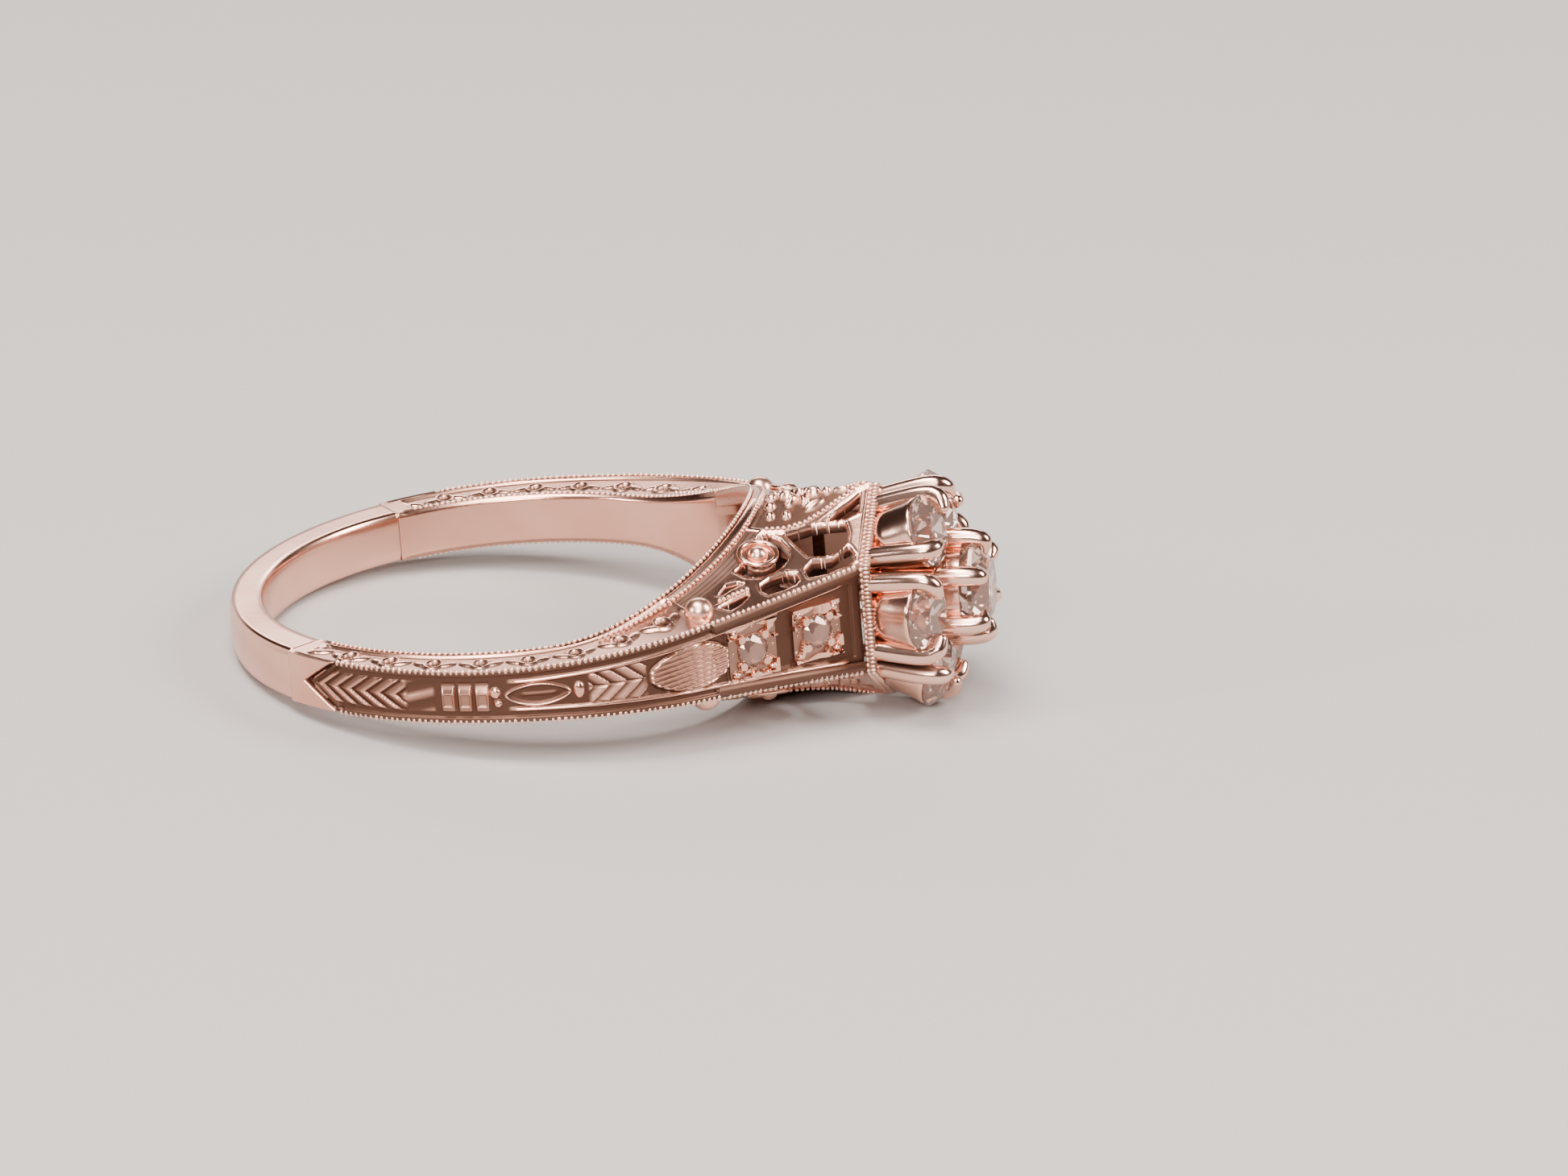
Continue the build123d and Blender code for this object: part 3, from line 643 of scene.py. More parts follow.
# ---------------------------------------------------------------------------
# Diamonds: round brilliants, eight-sided table, stars, kites and halves above a
# thin girdle, mains and halves below. The outer six and the four small ones are
# old and slightly warm; the centre stone stands highest.
diamond = bpy.data.materials.new("diamond")
diamond.use_nodes = True
stone_shader = diamond.node_tree.nodes["Principled BSDF"]
stone_shader.inputs["Transmission Weight"].default_value = 0.93
stone_shader.inputs["IOR"].default_value = 2.42
stone_shader.inputs["Roughness"].default_value = 0.0
stone_shader.inputs["Specular Tint"].default_value = (0.80, 0.56, 0.47, 1)
stone_wash = diamond.node_tree.nodes.new("ShaderNodeTexNoise")
stone_wash.inputs["Scale"].default_value = 700.0
stone_tint = diamond.node_tree.nodes.new("ShaderNodeValToRGB")
stone_tint.color_ramp.elements[0].color = (0.97, 0.62, 0.51, 1)
stone_tint.color_ramp.elements[1].color = (1.0, 0.78, 0.69, 1)
diamond.node_tree.links.new(stone_wash.outputs["Fac"], stone_tint.inputs["Fac"])
diamond.node_tree.links.new(stone_tint.outputs["Color"], stone_shader.inputs["Base Color"])


def brilliant_points(diameter):
    """Corner points of a round brilliant with its girdle at the origin and its table up +Z."""
    radius = diameter / 2
    table, girdle, crown, pavilion = 0.56 * radius, 0.04 * radius, 0.31 * radius, 0.86 * radius
    star, low = 0.80 * radius, 0.50 * radius
    eighth = np.cos(np.pi / 8)
    star_z = girdle + crown * (1 - (star * eighth - table) / (radius - table))
    low_z = -girdle - pavilion * (1 - low * eighth / radius)
    points = [(0.0, 0.0, -girdle - pavilion)]
    for i in range(16):
        c, s = np.cos(np.pi * i / 8), np.sin(np.pi * i / 8)
        points += [(radius * c, radius * s, girdle), (radius * c, radius * s, -girdle)]
        if i % 2 == 0:
            points.append((table * c, table * s, girdle + crown))
        else:
            points += [(star * c, star * s, star_z), (low * c, low * s, low_z)]
    return np.array(points)


def set_stone(name, node, diameter, middle, along, up, outward):
    """One cut stone, its table facing outward."""
    local = brilliant_points(diameter)
    points = middle + local[:, :1] * along + local[:, 1:2] * up + local[:, 2:] * outward
    build = bmesh.new()
    for p in points:
        build.verts.new(p * millimetre)
    bmesh.ops.convex_hull(build, input=build.verts)
    bmesh.ops.dissolve_limit(build, angle_limit=0.01, verts=build.verts, edges=build.edges)
    bmesh.ops.recalc_face_normals(build, faces=build.faces)
    mesh = bpy.data.meshes.new(name)
    build.to_mesh(mesh)
    build.free()
    mesh.shade_flat()
    mesh.materials.append(diamond)
    stone = bpy.data.objects.new(name, mesh)
    bpy.context.scene.collection.objects.link(stone)
    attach(stone, "root")
    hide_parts(node)


for hand, word in ((1, "left"), (-1, "right")):
    for number, back in enumerate(stone_backs, start=1):
        middle, along, up, outward = shoulder_place(back, hand)
        set_stone("small_brilliant_%s_%d" % (word, number), "%s_shoulder_diamond_%d" % (word, number),
                  shoulder_stone, middle - 0.10 * outward, along, up, outward)

# ---------------------------------------------------------------------------
# Pierced gallery: cast gold panels, sawn and filed into scrolls round a cup, with
# rounded wires between the openings. They are soldered between rail and shoulder.
gallery_gold = polished_gold("rose_gold_filigree", (0.93, 0.54, 0.415), 0.19, 0.30)
sheet_thick = 0.40
rail_outside = 9.04
mouth_half_angle = 41.4
cup_back, cup_in = 2.63, 2.20


def shoulder_plan(back, depth):
    """Plan point on the left shoulder, from distances back from the head and in from the edge."""
    return np.array([plate_back, corner_y]) - toward_head * back + into_ring * depth


cup_at = shoulder_plan(cup_back, cup_in)


def along_line(line, x, y):
    """Distance to an open line."""
    nearest = np.full(x.shape, 1e9)
    for (ax, ay), (bx, by) in zip(line[:-1], line[1:]):
        ex, ey = bx - ax, by - ay
        t = np.clip(((x - ax) * ex + (y - ay) * ey) / (ex * ex + ey * ey), 0, 1)
        nearest = np.minimum(nearest, np.hypot(x - ax - t * ex, y - ay - t * ey))
    return nearest


def outside_of(outline, x, y):
    """Signed distance from a closed outline, negative inside."""
    closed = [*outline, outline[0]]
    inside = np.zeros(x.shape, dtype=bool)
    for (ax, ay), (bx, by) in zip(closed[:-1], closed[1:]):
        if ay != by:
            inside ^= ((ay > y) != (by > y)) & (x < (bx - ax) * (y - ay) / (by - ay) + ax)
    distance = along_line(closed, x, y)
    return np.where(inside, -distance, distance)


# Each opening is a sawn outline in plan and how far its corners are filed round.
openings = [
    ([(11.40, 1.46), (11.74, 1.02), (12.50, 0.30), (12.50, 1.12), (12.12, 1.34)], 0.04),
    ([(10.22, 2.16), (10.62, 1.94), (11.00, 1.74), (11.34, 1.64), (12.06, 1.56), (12.20, 1.91),
      (12.20, 2.30), (11.93, 2.72), (11.46, 2.90), (11.08, 3.00), (10.73, 2.66)], 0.10),
    ([(11.00, 3.72), (11.20, 3.24), (11.86, 3.00), (12.12, 2.68), (12.34, 2.50), (12.58, 2.80),
      (12.54, 3.04), (12.24, 3.34), (11.80, 3.78), (11.22, 4.10)], 0.06),
    ([(9.68, 4.82), (9.93, 4.44), (10.40, 4.08), (10.74, 4.02), (10.88, 4.32), (10.76, 4.58),
      (10.36, 4.96), (9.97, 5.24), (9.78, 5.10)], 0.08),
    ([(8.32, 5.56), (8.50, 5.04), (8.86, 4.84), (9.10, 4.90), (8.74, 5.20), (8.46, 5.56)], 0.04),
    ([(8.40, 6.22), (8.82, 5.72), (9.26, 5.28), (9.36, 5.44), (9.14, 5.96), (8.86, 6.34)], 0.04),
]
moon_outline = [
    (8.78, 4.28), (9.13, 4.46), (9.57, 4.38), (9.95, 4.10), (10.24, 3.68), (10.34, 3.24),
    (10.28, 2.82), (9.97, 2.46), (9.62, 2.32), (9.26, 2.42), (9.40, 3.46),
]
strut_line = np.array([
    (12.8, 0.0), (12.34, 0.14), (11.72, 0.70), (11.32, 1.12), (10.73, 1.66), (10.08, 2.00), (9.36, 2.14),
])


def gallery_edges(x, y):
    """Signed distance to the nearest edge of the pierced metal, negative in metal."""
    edge = np.full(x.shape, -1e9)
    for outline, round_off in openings:
        edge = np.maximum(edge, -(outside_of(outline, x, y) - round_off + 0.02))
    from_cup = np.hypot(x - cup_at[0], y - cup_at[1])
    moon = np.maximum(outside_of(moon_outline, x, y) - 0.08, 0.58 - from_cup)
    return np.maximum(edge, -moon)


def depth_in(x, y):
    """Distance in from the outer face of the left shoulder."""
    return (x - plate_back) * into_ring[0] + (y - corner_y) * into_ring[1]


def gallery_relief(x, y, edge):
    """Raised work on the gallery: filed edges, a scroll band round the cup, combed lines by the rail."""
    relief = -0.09 * np.clip(1 + edge / 0.07, 0, 1) ** 2
    relief -= 0.045 * np.clip((-edge - 0.09) / 0.04, 0, 1)
    from_cup = np.hypot(x - cup_at[0], y - cup_at[1])
    reach = np.hypot(x, y)
    lines = np.abs(((reach - 9.05) / 0.16) % 1.0 - 0.5) * 2
    combed = np.clip((9.80 - reach) / 0.25, 0, 1) * np.clip(-edge / 0.15, 0, 1) * (from_cup > 0.8)
    relief -= combed * 0.05 * (1 - lines)
    seat = np.clip((0.20 - depth_in(x, y)) / 0.03, 0, 1)
    relief = np.where(seat > 0, np.minimum(relief, -0.03), relief)
    relief = np.maximum(relief, 0.10 * np.sqrt(groove(along_line(strut_line, x, y), 0.13)) - 0.02)
    # Darkened: painted shade with old patina in the sunk work and combed lines, and painted shade along the
    # seat by the shoulder.
    dark = np.clip(-relief / 0.16, 0, 1) * 0.22 + combed * 0.60 * (1 - lines)
    return relief, np.maximum(dark, 0.88 * seat)


def pierced_sheet(edges, relief, low, high, pitch, thick):
    """Sheet lying on the ring's upper surface, cut out where edges is positive."""
    xs = np.arange(low[0], high[0] + pitch, pitch)
    ys = np.arange(low[1], high[1] + pitch, pitch)
    x, y = np.meshgrid(xs, ys)
    edge = edges(x, y)
    step = 0.004
    for again in range(2):
        slope_x = (edges(x + step, y) - edges(x - step, y)) / (2 * step)
        slope_y = (edges(x, y + step) - edges(x, y - step)) / (2 * step)
        size = np.maximum(np.hypot(slope_x, slope_y), 0.3) ** 2
        near = np.abs(edge) < 0.72 * pitch
        x = np.where(near, x - slope_x * edge / size, x)
        y = np.where(near, y - slope_y * edge / size, y)
        edge = edges(x, y)
    keep = edge < 0.12 * pitch
    faces = np.array(grid_faces(len(ys), len(xs)))
    faces = faces[keep.ravel()[faces].all(axis=1)]
    used = np.unique(faces)
    lookup = np.zeros(keep.size, dtype=int)
    lookup[used] = np.arange(len(used))
    faces = lookup[faces]
    x, y, edge = x.ravel()[used], y.ravel()[used], edge.ravel()[used]
    raised, dark = relief(x, y, edge)
    level = top_height(x, y)
    top = np.stack([x, y, level + raised], axis=1)
    bottom = np.stack([x, y, level - thick], axis=1)
    points, faces = thicken(top, bottom, faces.tolist())
    # The underside of every sheet is darkened: painted shade.
    return points, faces, np.concatenate([dark, np.full(len(dark), 0.92)])


def mirror_z(points, faces):
    """The same piece on the other face of the ring."""
    flipped = np.array(points, dtype=float)
    flipped[:, 2] *= -1
    return flipped, [list(f)[::-1] for f in faces]


def strut_side(x):
    """How far the strut stands from the middle of the head."""
    return np.interp(x, strut_line[::-1, 0], strut_line[::-1, 1])


def panel_edges(x, y):
    """Outline of one pierced panel with its openings."""
    angle = np.degrees(np.arctan2(y, x))
    ends = np.maximum(x - plate_back, rail_outside - np.hypot(x, y))
    sides = np.maximum(0.02 - depth_in(x, y), (angle - mouth_half_angle) * 0.17)
    outline = np.maximum(np.maximum(ends, sides), (strut_side(x) - y) * 0.80)
    return np.maximum(outline, gallery_edges(x, y))


panel_points, panel_faces, panel_dark = pierced_sheet(
    panel_edges, gallery_relief, (6.4, 0.0), (12.82, 7.2), 0.038, sheet_thick)
for hand, word in ((1, "left"), (-1, "right")):
    for level, height_word in ((1, "upper"), (-1, "lower")):
        points, faces = panel_points, panel_faces
        if hand == -1:
            points, faces = mirror_y(points, faces)
        if level == -1:
            points, faces = mirror_z(points, faces)
        panel = cast("filigree_%s_%s" % (word, height_word), points, faces, gallery_gold, panel_dark)
        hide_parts("%s_%s_gallery_panel" % (word, height_word))

# ---------------------------------------------------------------------------
# Crests: solid triangles of gold over the middle of the bridge, one on each face,
# with a small carved flower. They are one casting with the struts beside them.
flower_x = 10.35
petal_count = 6
grains_beside = (
    (9.36, 0.0, 0.22), (9.42, 0.62, 0.20), (9.50, 1.22, 0.18), (10.05, 1.15, 0.17), (11.30, 0.0, 0.17),
)


def crest_edges(x, y):
    """Outline of a crest, from the finger rail to the plate's corner."""
    ends = np.maximum(x - plate_back, rail_outside - np.hypot(x, y))
    return np.maximum(ends, (np.abs(y) - strut_side(x)) * 0.80)


def crest_relief(x, y, edge):
    """Flower of petals round a bead, leaves toward the plate, beads by the rail and a sunk ground."""
    relief = -0.09 * np.clip(-edge / 0.10 - 1.2, 0, 1)
    for turn in range(petal_count):
        a = 2 * np.pi * turn / petal_count
        u = (x - flower_x) * np.cos(a) + y * np.sin(a) - 0.46
        w = -(x - flower_x) * np.sin(a) + y * np.cos(a)
        petal = dome(u, w, 0.30, 0.20)
        relief += 0.30 * petal - 0.15 * petal * groove(w, 0.06)
    relief += 0.27 * dome(x - flower_x, y, 0.19, 0.19)
    for px, py, size in grains_beside:
        relief += 0.20 * dome(x - px, np.abs(y) - py, size, size)
    for hand in (-1, 1):
        u = (x - 10.95) * 0.76 - hand * (y - hand * 0.62) * 0.65
        w = (x - 10.95) * 0.65 * hand + (y - hand * 0.62) * 0.76
        leaf = dome(u, w, 0.42, 0.17)
        relief += 0.17 * leaf - 0.08 * leaf * groove(w, 0.05)
    relief += 0.15 * dome(x - 11.78, y, 0.30, 0.13)
    # Darkened: painted shade with old patina in the sunk ground, and painted shade in a band inside the
    # crest's edge.
    dark = np.clip(-relief / 0.08, 0, 1) * 0.90
    return relief, np.maximum(dark, 0.75 * between(-edge, 0.10, 0.24, 0.03))


crest_points, crest_faces, crest_dark = pierced_sheet(
    crest_edges, crest_relief, (8.6, -2.5), (12.82, 2.5), 0.036, sheet_thick)
for level, height_word in ((1, "upper"), (-1, "lower")):
    points, faces = crest_points, crest_faces
    if level == -1:
        points, faces = mirror_z(points, faces)
    crest = cast("crest_%s" % height_word, points, faces, gallery_gold, crest_dark)
    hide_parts("%s_crest" % height_word, *(["crest_beads"] if level == 1 else []))

# ---------------------------------------------------------------------------
# Finger rails: two curved wires of gold that bound the open mouth of the head
# where it meets the finger. Each is soldered to the panels and to the arms.
rail_angles = np.radians(np.linspace(-mouth_half_angle, mouth_half_angle, 241))
# Each corner of the section: distance from the finger's axis, drop below the surface, painted shade (darker
# on the flanks than on the top).
rail_section = [
    (finger_radius, 0.60, 0.2), (finger_radius, 0.07, 0.4), (8.48, 0.04, 0.9), (8.62, 0.04, 0.9),
    (8.66, 0.0, 0.0), (8.74, -0.02, 0.0), (8.84, 0.0, 0.0), (8.88, 0.04, 0.9),
    (rail_outside, 0.04, 0.9), (9.06, 0.07, 0.4), (9.06, 0.60, 0.9),
]
rail_rows = []
for a in rail_angles:
    section = []
    for r, drop, dull in rail_section:
        x, y = r * np.cos(a), r * np.sin(a)
        section.append((x, y, float(top_height(x, y)) - drop))
    rail_rows.append(section)
rail_rows = np.array(rail_rows)
# Painted shade per point, from the section's last column.
rail_shade = np.tile([dull for r, drop, dull in rail_section], len(rail_rows))
rail_faces = band_faces(*rail_rows.shape[:2])
for level, height_word in ((1, "upper"), (-1, "lower")):
    points, faces = rail_rows.reshape(-1, 3), rail_faces
    if level == -1:
        points, faces = mirror_z(points, faces)
    rail = cast("finger_rail_%s" % height_word, points, faces, gallery_gold, rail_shade)
    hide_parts("%s_finger_rail" % height_word)

# ---------------------------------------------------------------------------
# Milgrain: rows of tiny beads rolled with a knurled wheel along every edge of
# the arms, shoulders, rails, struts and plate. The wheel leaves them a little uneven.
wheel_play = np.random.default_rng(11)
ball_build = bmesh.new()
bmesh.ops.create_icosphere(ball_build, subdivisions=2, radius=1.0)
ball_points = np.array([v.co[:] for v in ball_build.verts])
ball_faces = [[v.index for v in f.verts] for f in ball_build.faces]
ball_build.free()


def bead_rows(name, lines, pitch, radius, finish, stretch=(1, 1, 1)):
    """Beads rolled along open lines, all in one piece."""
    middles = []
    for line in lines:
        line = np.asarray(line, dtype=float)
        run = np.concatenate([[0], np.cumsum(np.linalg.norm(np.diff(line, axis=0), axis=1))])
        count = max(2, int(round(run[-1] / pitch)))
        at = (np.arange(count) + 0.5) * run[-1] / count + wheel_play.uniform(-0.06, 0.06, count) * pitch
        middles.append(np.stack([np.interp(at, run, line[:, k]) for k in range(3)], axis=1))
    middles = np.concatenate(middles)
    sizes = radius * wheel_play.uniform(0.88, 1.06, len(middles))
    points = middles[:, None, :] + ball_points[None, :, :] * np.array(stretch) * sizes[:, None, None]
    starts = np.arange(len(middles)) * len(ball_points)
    faces = np.array(ball_faces)[None, :, :] + starts[:, None, None]
    row = cast(name, points.reshape(-1, 3), faces.reshape(-1, 3), finish)


def on_top(x, y, lift):
    """Line a little above the ring's upper surface, from its plan."""
    return np.stack([x, y, top_height(x, y) + lift], axis=1)


def both_faces(line, hand):
    """A line on one hand of the ring, on the upper and on the lower face."""
    return [line * (1, hand, 1), line * (1, hand, -1)]


# Lighter than the other golds so the beads read bright: a painted highlight.
milgrain_gold_lightened = polished_gold("rose_gold_milgrain", (0.99, 0.66, 0.54), 0.28, 0.1)
bead_pitch = 0.20
edge_pitch = 0.205
edge_stretch = (1, 1, 1.45)
edge_end = 19.75
angles = np.linspace(0.0, 126.5, 500)
angles = angles[(angles >= corner_angle) & (arc_back(angles) <= edge_end)]
reach = outline_radius(angles) - 0.096
across, up = reach * np.cos(np.radians(angles)), reach * np.sin(np.radians(angles))
outer_line = np.stack([across, up, outline_height(angles) - 0.01], axis=1)
angles = np.radians(np.linspace(0, 124.0, 420))
inner_line = on_top(8.53 * np.cos(angles), 8.53 * np.sin(angles), 0.01)
angles = np.radians(np.linspace(0, 60.0, 220))
second_line = on_top(8.97 * np.cos(angles), 8.97 * np.sin(angles), 0.0)
strut_x = plate_back - 3.40 * np.linspace(0.04, 1, 60)
strut_row = on_top(strut_x, strut_side(strut_x), 0.09)
neck_row = on_top(np.linspace(8.34, 9.32, 24), np.linspace(5.98, 5.12, 24), 0.01)
for hand, word in ((1, "left"), (-1, "right")):
    edge_rows = both_faces(outer_line, hand)
    bead_rows("milgrain_edges_%s" % word, edge_rows, edge_pitch, 0.082, milgrain_gold_lightened,
              edge_stretch)
    finger_rows = both_faces(inner_line, hand)
    bead_rows("milgrain_finger_edge_%s" % word, finger_rows, bead_pitch, 0.082, milgrain_gold_lightened)
    rail_rows = both_faces(second_line, hand)
    bead_rows("milgrain_rail_%s" % word, rail_rows, bead_pitch, 0.082, milgrain_gold_lightened)
    strut_rows = both_faces(strut_row, hand) + both_faces(neck_row, hand)
    bead_rows("milgrain_struts_%s" % word, strut_rows, bead_pitch, 0.085, milgrain_gold_lightened)

# ---------------------------------------------------------------------------
# Cups in the gallery: turned gold cups with a rolled lip and a burnished ball,
# one in each panel, soldered in at two necks. A larger ball closes each corner.
ball_gold = polished_gold("rose_gold_burnished", (0.95, 0.57, 0.44), 0.24, 0.15)
lathe_steps = 48


def lathe(profile, middle, axis, steps=lathe_steps):
    """Surface turned from (radius, height) pairs, with a disc at each end of the profile."""
    axis = np.asarray(axis, dtype=float) / np.linalg.norm(axis)
    side_way = np.cross(axis, [0.0, 0.0, 1.0] if abs(axis[2]) < 0.9 else [1.0, 0.0, 0.0])
    side_way /= np.linalg.norm(side_way)
    other_way = np.cross(axis, side_way)
    turns = np.linspace(0, 2 * np.pi, steps, endpoint=False)
    points = []
    for r, h in profile:
        for t in turns:
            points.append(np.asarray(middle) + axis * h + r * (np.cos(t) * side_way + np.sin(t) * other_way))
    faces = []
    for i in range(len(profile) - 1):
        for j in range(steps):
            k = (j + 1) % steps
            faces.append([i * steps + j, i * steps + k, (i + 1) * steps + k, (i + 1) * steps + j])
    faces.append(list(range(steps))[::-1])
    faces.append([(len(profile) - 1) * steps + n for n in range(steps)])
    return np.array(points), faces


def surface_normal(x, y):
    """Direction square to the upper surface on the left half."""
    step = 0.05
    dx = (top_height(x + step, y) - top_height(x - step, y)) / (2 * step)
    dy = (top_height(x, y + step) - top_height(x, y - step)) / (2 * step)
    normal = np.array([-dx, -dy, 1.0])
    return normal / np.linalg.norm(normal)


cup_profile = [
    (0.62, -0.55), (0.64, -0.12), (0.70, 0.00), (0.725, 0.08), (0.71, 0.14), (0.65, 0.18), (0.59, 0.17),
    (0.55, 0.12), (0.53, 0.03), (0.50, -0.03), (0.47, -0.08), (0.43, -0.15), (0.36, -0.22), (0.20, -0.26),
    (0.02, -0.27),
]
cup_ball = [
    (0.02, -0.26), (0.18, -0.24), (0.28, -0.17), (0.335, -0.06), (0.34, 0.04), (0.30, 0.15), (0.22, 0.24),
    (0.12, 0.30), (0.02, 0.32),
]
corner_ball = [
    (0.02, -0.54), (0.24, -0.50), (0.40, -0.36), (0.49, -0.16), (0.50, -0.02), (0.46, 0.15), (0.38, 0.28),
    (0.27, 0.37), (0.14, 0.425), (0.02, 0.435),
]
corner_ball_at = shoulder_plan(5.86, 1.02)
cup_middle = (*cup_at, float(top_height(*cup_at)))
corner_middle = (*corner_ball_at, float(top_height(*corner_ball_at)))
turned = [
    lathe(cup_profile, cup_middle, surface_normal(*cup_at)),
    lathe(cup_ball, cup_middle, surface_normal(*cup_at)),
    lathe(corner_ball, corner_middle, surface_normal(*corner_ball_at)),
]
# Painted shade in the bowl of each cup and round its foot.
cup_dark = np.repeat([0.92 * (r < 0.51) + 0.8 * (h < -0.3) * (r > 0.6) for r, h in cup_profile], lathe_steps)
ball_pieces = [[], []]
for hand, word in ((1, "left"), (-1, "right")):
    for level, height_word in ((1, "upper"), (-1, "lower")):
        shapes = []
        for points, faces in turned:
            if hand == -1:
                points, faces = mirror_y(points, faces)
            if level == -1:
                points, faces = mirror_z(points, faces)
            shapes.append((points, faces))
        cup = cast("cup_%s_%s" % (word, height_word), *shapes[0], gallery_gold, cup_dark)
        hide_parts("%s_%s_rosette" % (word, height_word))
        ball_pieces[0].append(cast("cup_ball_%s_%s" % (word, height_word), *shapes[1], ball_gold))
        ball_pieces[1].append(cast("corner_ball_%s_%s" % (word, height_word), *shapes[2], ball_gold))
for pieces, node in zip(ball_pieces, ("rosette_beads", "gallery_beads")):
    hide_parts(node)

# ---------------------------------------------------------------------------
# Hexagonal plate: sheet gold, pierced under every stone, with milgrain on its
# back rim. It closes the hollow head and carries all the settings.
# The plate's edge faces are darkened in its material: painted shade.
plate_gold = polished_gold("rose_gold_plate", (0.91, 0.52, 0.40), 0.18, 0.3, rim_shade=True)
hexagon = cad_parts["hexagon_plate"]
for item in hexagon.material_slots:
    item.material = plate_gold
rim_bevel = hexagon.modifiers.new("broken_edge", "BEVEL")
rim_bevel.width = 0.00005
rim_bevel.segments = 2
rim_bevel.limit_method = "ANGLE"
rim_bevel.angle_limit = np.radians(50)
corner_turns = np.radians(30 + 60 * np.arange(7))
hexagon_corners = list(zip(np.cos(corner_turns), np.sin(corner_turns)))
rim_line = [(plate_back + 0.035, -plate_reach * c, plate_reach * s) for c, s in hexagon_corners]
bead_rows("milgrain_plate", [rim_line], bead_pitch, 0.080, milgrain_gold_lightened)
ridge_line = [(plate_back + 0.20, -plate_reach * c, plate_reach * s) for c, s in hexagon_corners]
bead_rows("knurled_plate_edge", [ridge_line], 0.145, 0.052, milgrain_gold_lightened, (2.3, 1, 1))

# ---------------------------------------------------------------------------
# Outer settings: six tapered gold cups, tilted outward, each with a polished
# barrel wall and a turned lip on which its stone is set.
head_gold = polished_gold("pale_gold_head", (0.95, 0.60, 0.475), 0.15, 0.15)
plate_front = plate_back + 0.35
ring_radius = 2.9
girdle_x = 14.9
tilt = np.radians(18.0)
outer_stone = 2.5
collet_profile = [
    (0.70, -2.3), (0.88, -2.2), (0.92, -1.80), (1.00, -1.60), (1.06, -1.20), (1.11, -0.80), (1.165, -0.40),
    (1.205, -0.24), (1.21, -0.16), (1.17, -0.11), (1.10, -0.13), (1.02, -0.24), (0.90, -0.60), (0.80, -1.0),
    (0.70, -1.8),
]


def head_point(x, reach, angle):
    """Point in the head, angle in degrees about the head's axis from the right side."""
    a = np.radians(angle)
    return np.array([x, -reach * np.cos(a), reach * np.sin(a)])


for k in range(6):
    middle = head_point(girdle_x, ring_radius, 60 * k)
    outward = head_point(np.cos(tilt), np.sin(tilt), 60 * k)
    points, faces = lathe(collet_profile + collet_profile[:1], middle, outward, 56)
    # The profile closes on itself, so it needs no end discs, and its foot is filed flat.
    points[:, 0] = np.maximum(points[:, 0], plate_front - 0.04)
    collet = cast("collet_%d" % (k + 1), points, faces[:-2], head_gold)
    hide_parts("outer_collet_%d" % (k + 1))
    up = np.array([0.0, np.sin(np.radians(60 * k)), np.cos(np.radians(60 * k))])
    set_stone("outer_brilliant_%d" % (k + 1), "outer_diamond_%d" % (k + 1), outer_stone,
              middle, up, np.cross(outward, up), outward)

# ---------------------------------------------------------------------------
# Outer claws: round gold wires in pairs at the corners of the plate. Each is
# pushed over its stone and its end filed to a rounded beak.
claw_radii = (0.36, 0.35, 0.345, 0.34, 0.31, 0.22)
pair_half_angle = 8.1


def claw(path, radii, steps=20, fine=44):
    """Round wire along a smooth path with a rounded, slightly flattened end."""
    path = np.asarray(path, dtype=float)
    knots = np.linspace(0, 1, len(path))
    at = np.linspace(0, 1, fine)
    smooth = np.stack([np.interp(at, knots, path[:, i]) for i in range(3)], axis=1)
    for again in range(14):
        smooth[1:-1] = 0.25 * smooth[:-2] + 0.5 * smooth[1:-1] + 0.25 * smooth[2:]
    thick = np.interp(at, np.linspace(0, 1, len(radii)), radii)
    ways = np.gradient(smooth, axis=0)
    ways /= np.linalg.norm(ways, axis=1)[:, None]
    side_way = np.cross(ways[0], [0.31, 0.22, 0.93])
    turns = np.linspace(0, 2 * np.pi, steps, endpoint=False)
    cosines, sines = np.cos(turns)[:, None], np.sin(turns)[:, None]
    rings = []
    for p, w, r in zip(smooth, ways, thick):
        side_way = side_way - w * np.dot(side_way, w)
        side_way /= np.linalg.norm(side_way)
        other = np.cross(w, side_way)
        rings.append(p + r * (cosines * side_way + sines * other))
    end, way, r = smooth[-1], ways[-1], thick[-1]
    for f in (0.35, 0.62, 0.82, 0.95, 0.995):
        ring = np.sqrt(1 - f ** 2) * r
        rings.append(end + way * r * f * 0.85 + ring * (cosines * side_way + sines * other))
    rings = np.array(rings)
    return rings.reshape(-1, 3), band_faces(*rings.shape[:2])


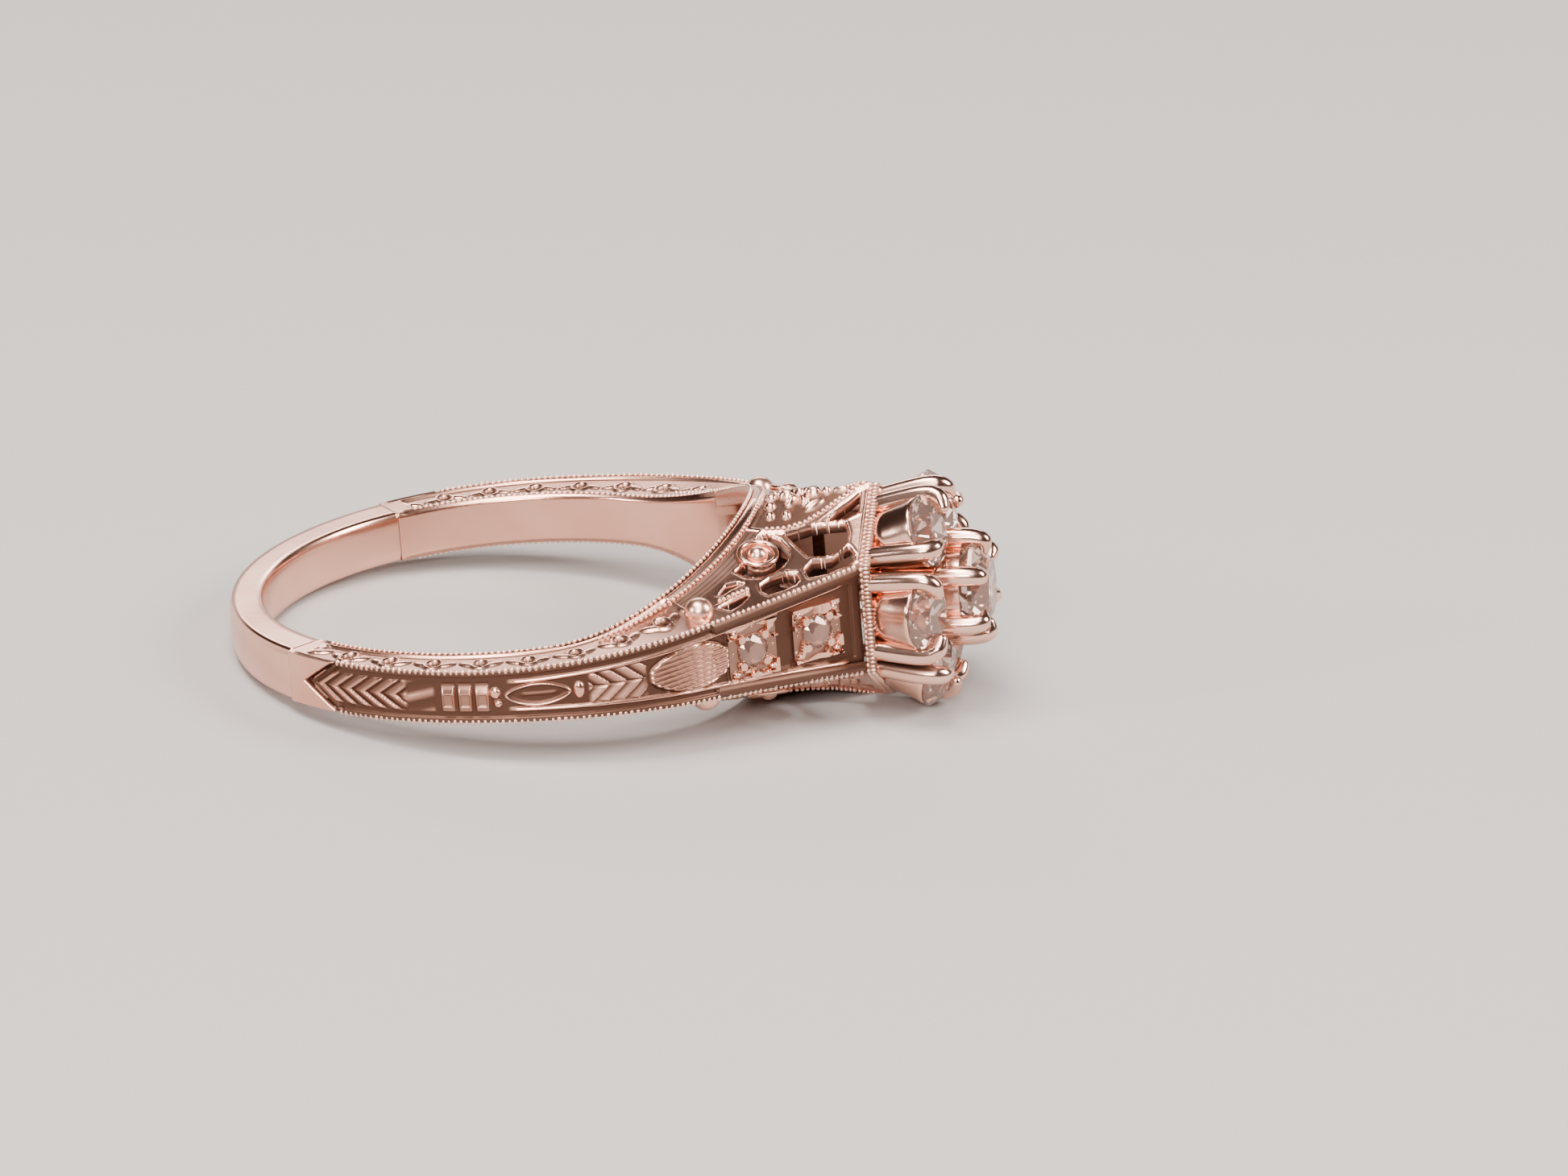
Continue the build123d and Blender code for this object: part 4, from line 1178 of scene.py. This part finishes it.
def join_shapes(shapes):
    """Several shapes as one piece."""
    points, faces, start = [], [], 0
    for shape, skin in shapes:
        points.append(shape)
        faces += [[n + start for n in face] for face in skin]
        start += len(shape)
    return np.concatenate(points), faces


for k in range(6):
    corner = 60 * k + 30
    pair = []
    for hand in (-1, 1):
        a = corner + hand * pair_half_angle
        path = [
            head_point(plate_front - 0.1, 3.16, a),
            head_point(13.8, 3.36, a),
            head_point(14.5, 3.52, a),
            head_point(15.02, 3.56, a + hand * 0.3),
            head_point(15.30, 3.46, a + hand * 3.0),
            head_point(15.40, 3.24, a + hand * 7.5),
        ]
        pair.append(claw(path, claw_radii))
    points, faces = join_shapes(pair)
    # Painted shade in the gap between the two wires.
    between_pair = points[:, 2] * np.cos(np.radians(corner)) + points[:, 1] * np.sin(np.radians(corner))
    shaded = 0.88 * np.clip((0.27 - np.abs(between_pair)) / 0.12, 0, 1) * (points[:, 0] < 15.1)
    claws = cast("claw_pair_%d" % (k + 1), points, faces, head_gold, shaded)
    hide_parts("outer_prongs_%d" % (k + 1))

# ---------------------------------------------------------------------------
# Centre setting: six taller claws of the same gold wire round a bearing ring,
# tied lower down by a rail. The centre stone stands well above the others.
centre_stone = 3.3
centre_girdle = np.array([16.2, 0.0, 0.0])
tall_claw_radii = (0.36, 0.36, 0.355, 0.35, 0.31, 0.20)
for k in range(6):
    a = 60 * k + 30
    path = [
        head_point(plate_front - 0.1, 1.64, a),
        head_point(14.3, 1.70, a),
        head_point(15.3, 1.74, a),
        head_point(16.1, 1.76, a),
        head_point(16.60, 1.66, a),
        head_point(16.57, 1.30, a),
    ]
    points, faces = claw(path, tall_claw_radii)
    tall_claw = cast("centre_claw_%d" % (k + 1), points, faces, head_gold)
    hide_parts("centre_prong_%d" % (k + 1))
for node in ("centre_bearing", "centre_rail"):
    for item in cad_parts[node].material_slots:
        item.material = head_gold
set_stone("centre_brilliant", "centre_diamond", centre_stone, centre_girdle,
          np.array([0.0, 1.0, 0.0]), np.array([0.0, 0.0, 1.0]), np.array([1.0, 0.0, 0.0]))

# ---------------------------------------------------------------------------
bpy.context.view_layer.update()
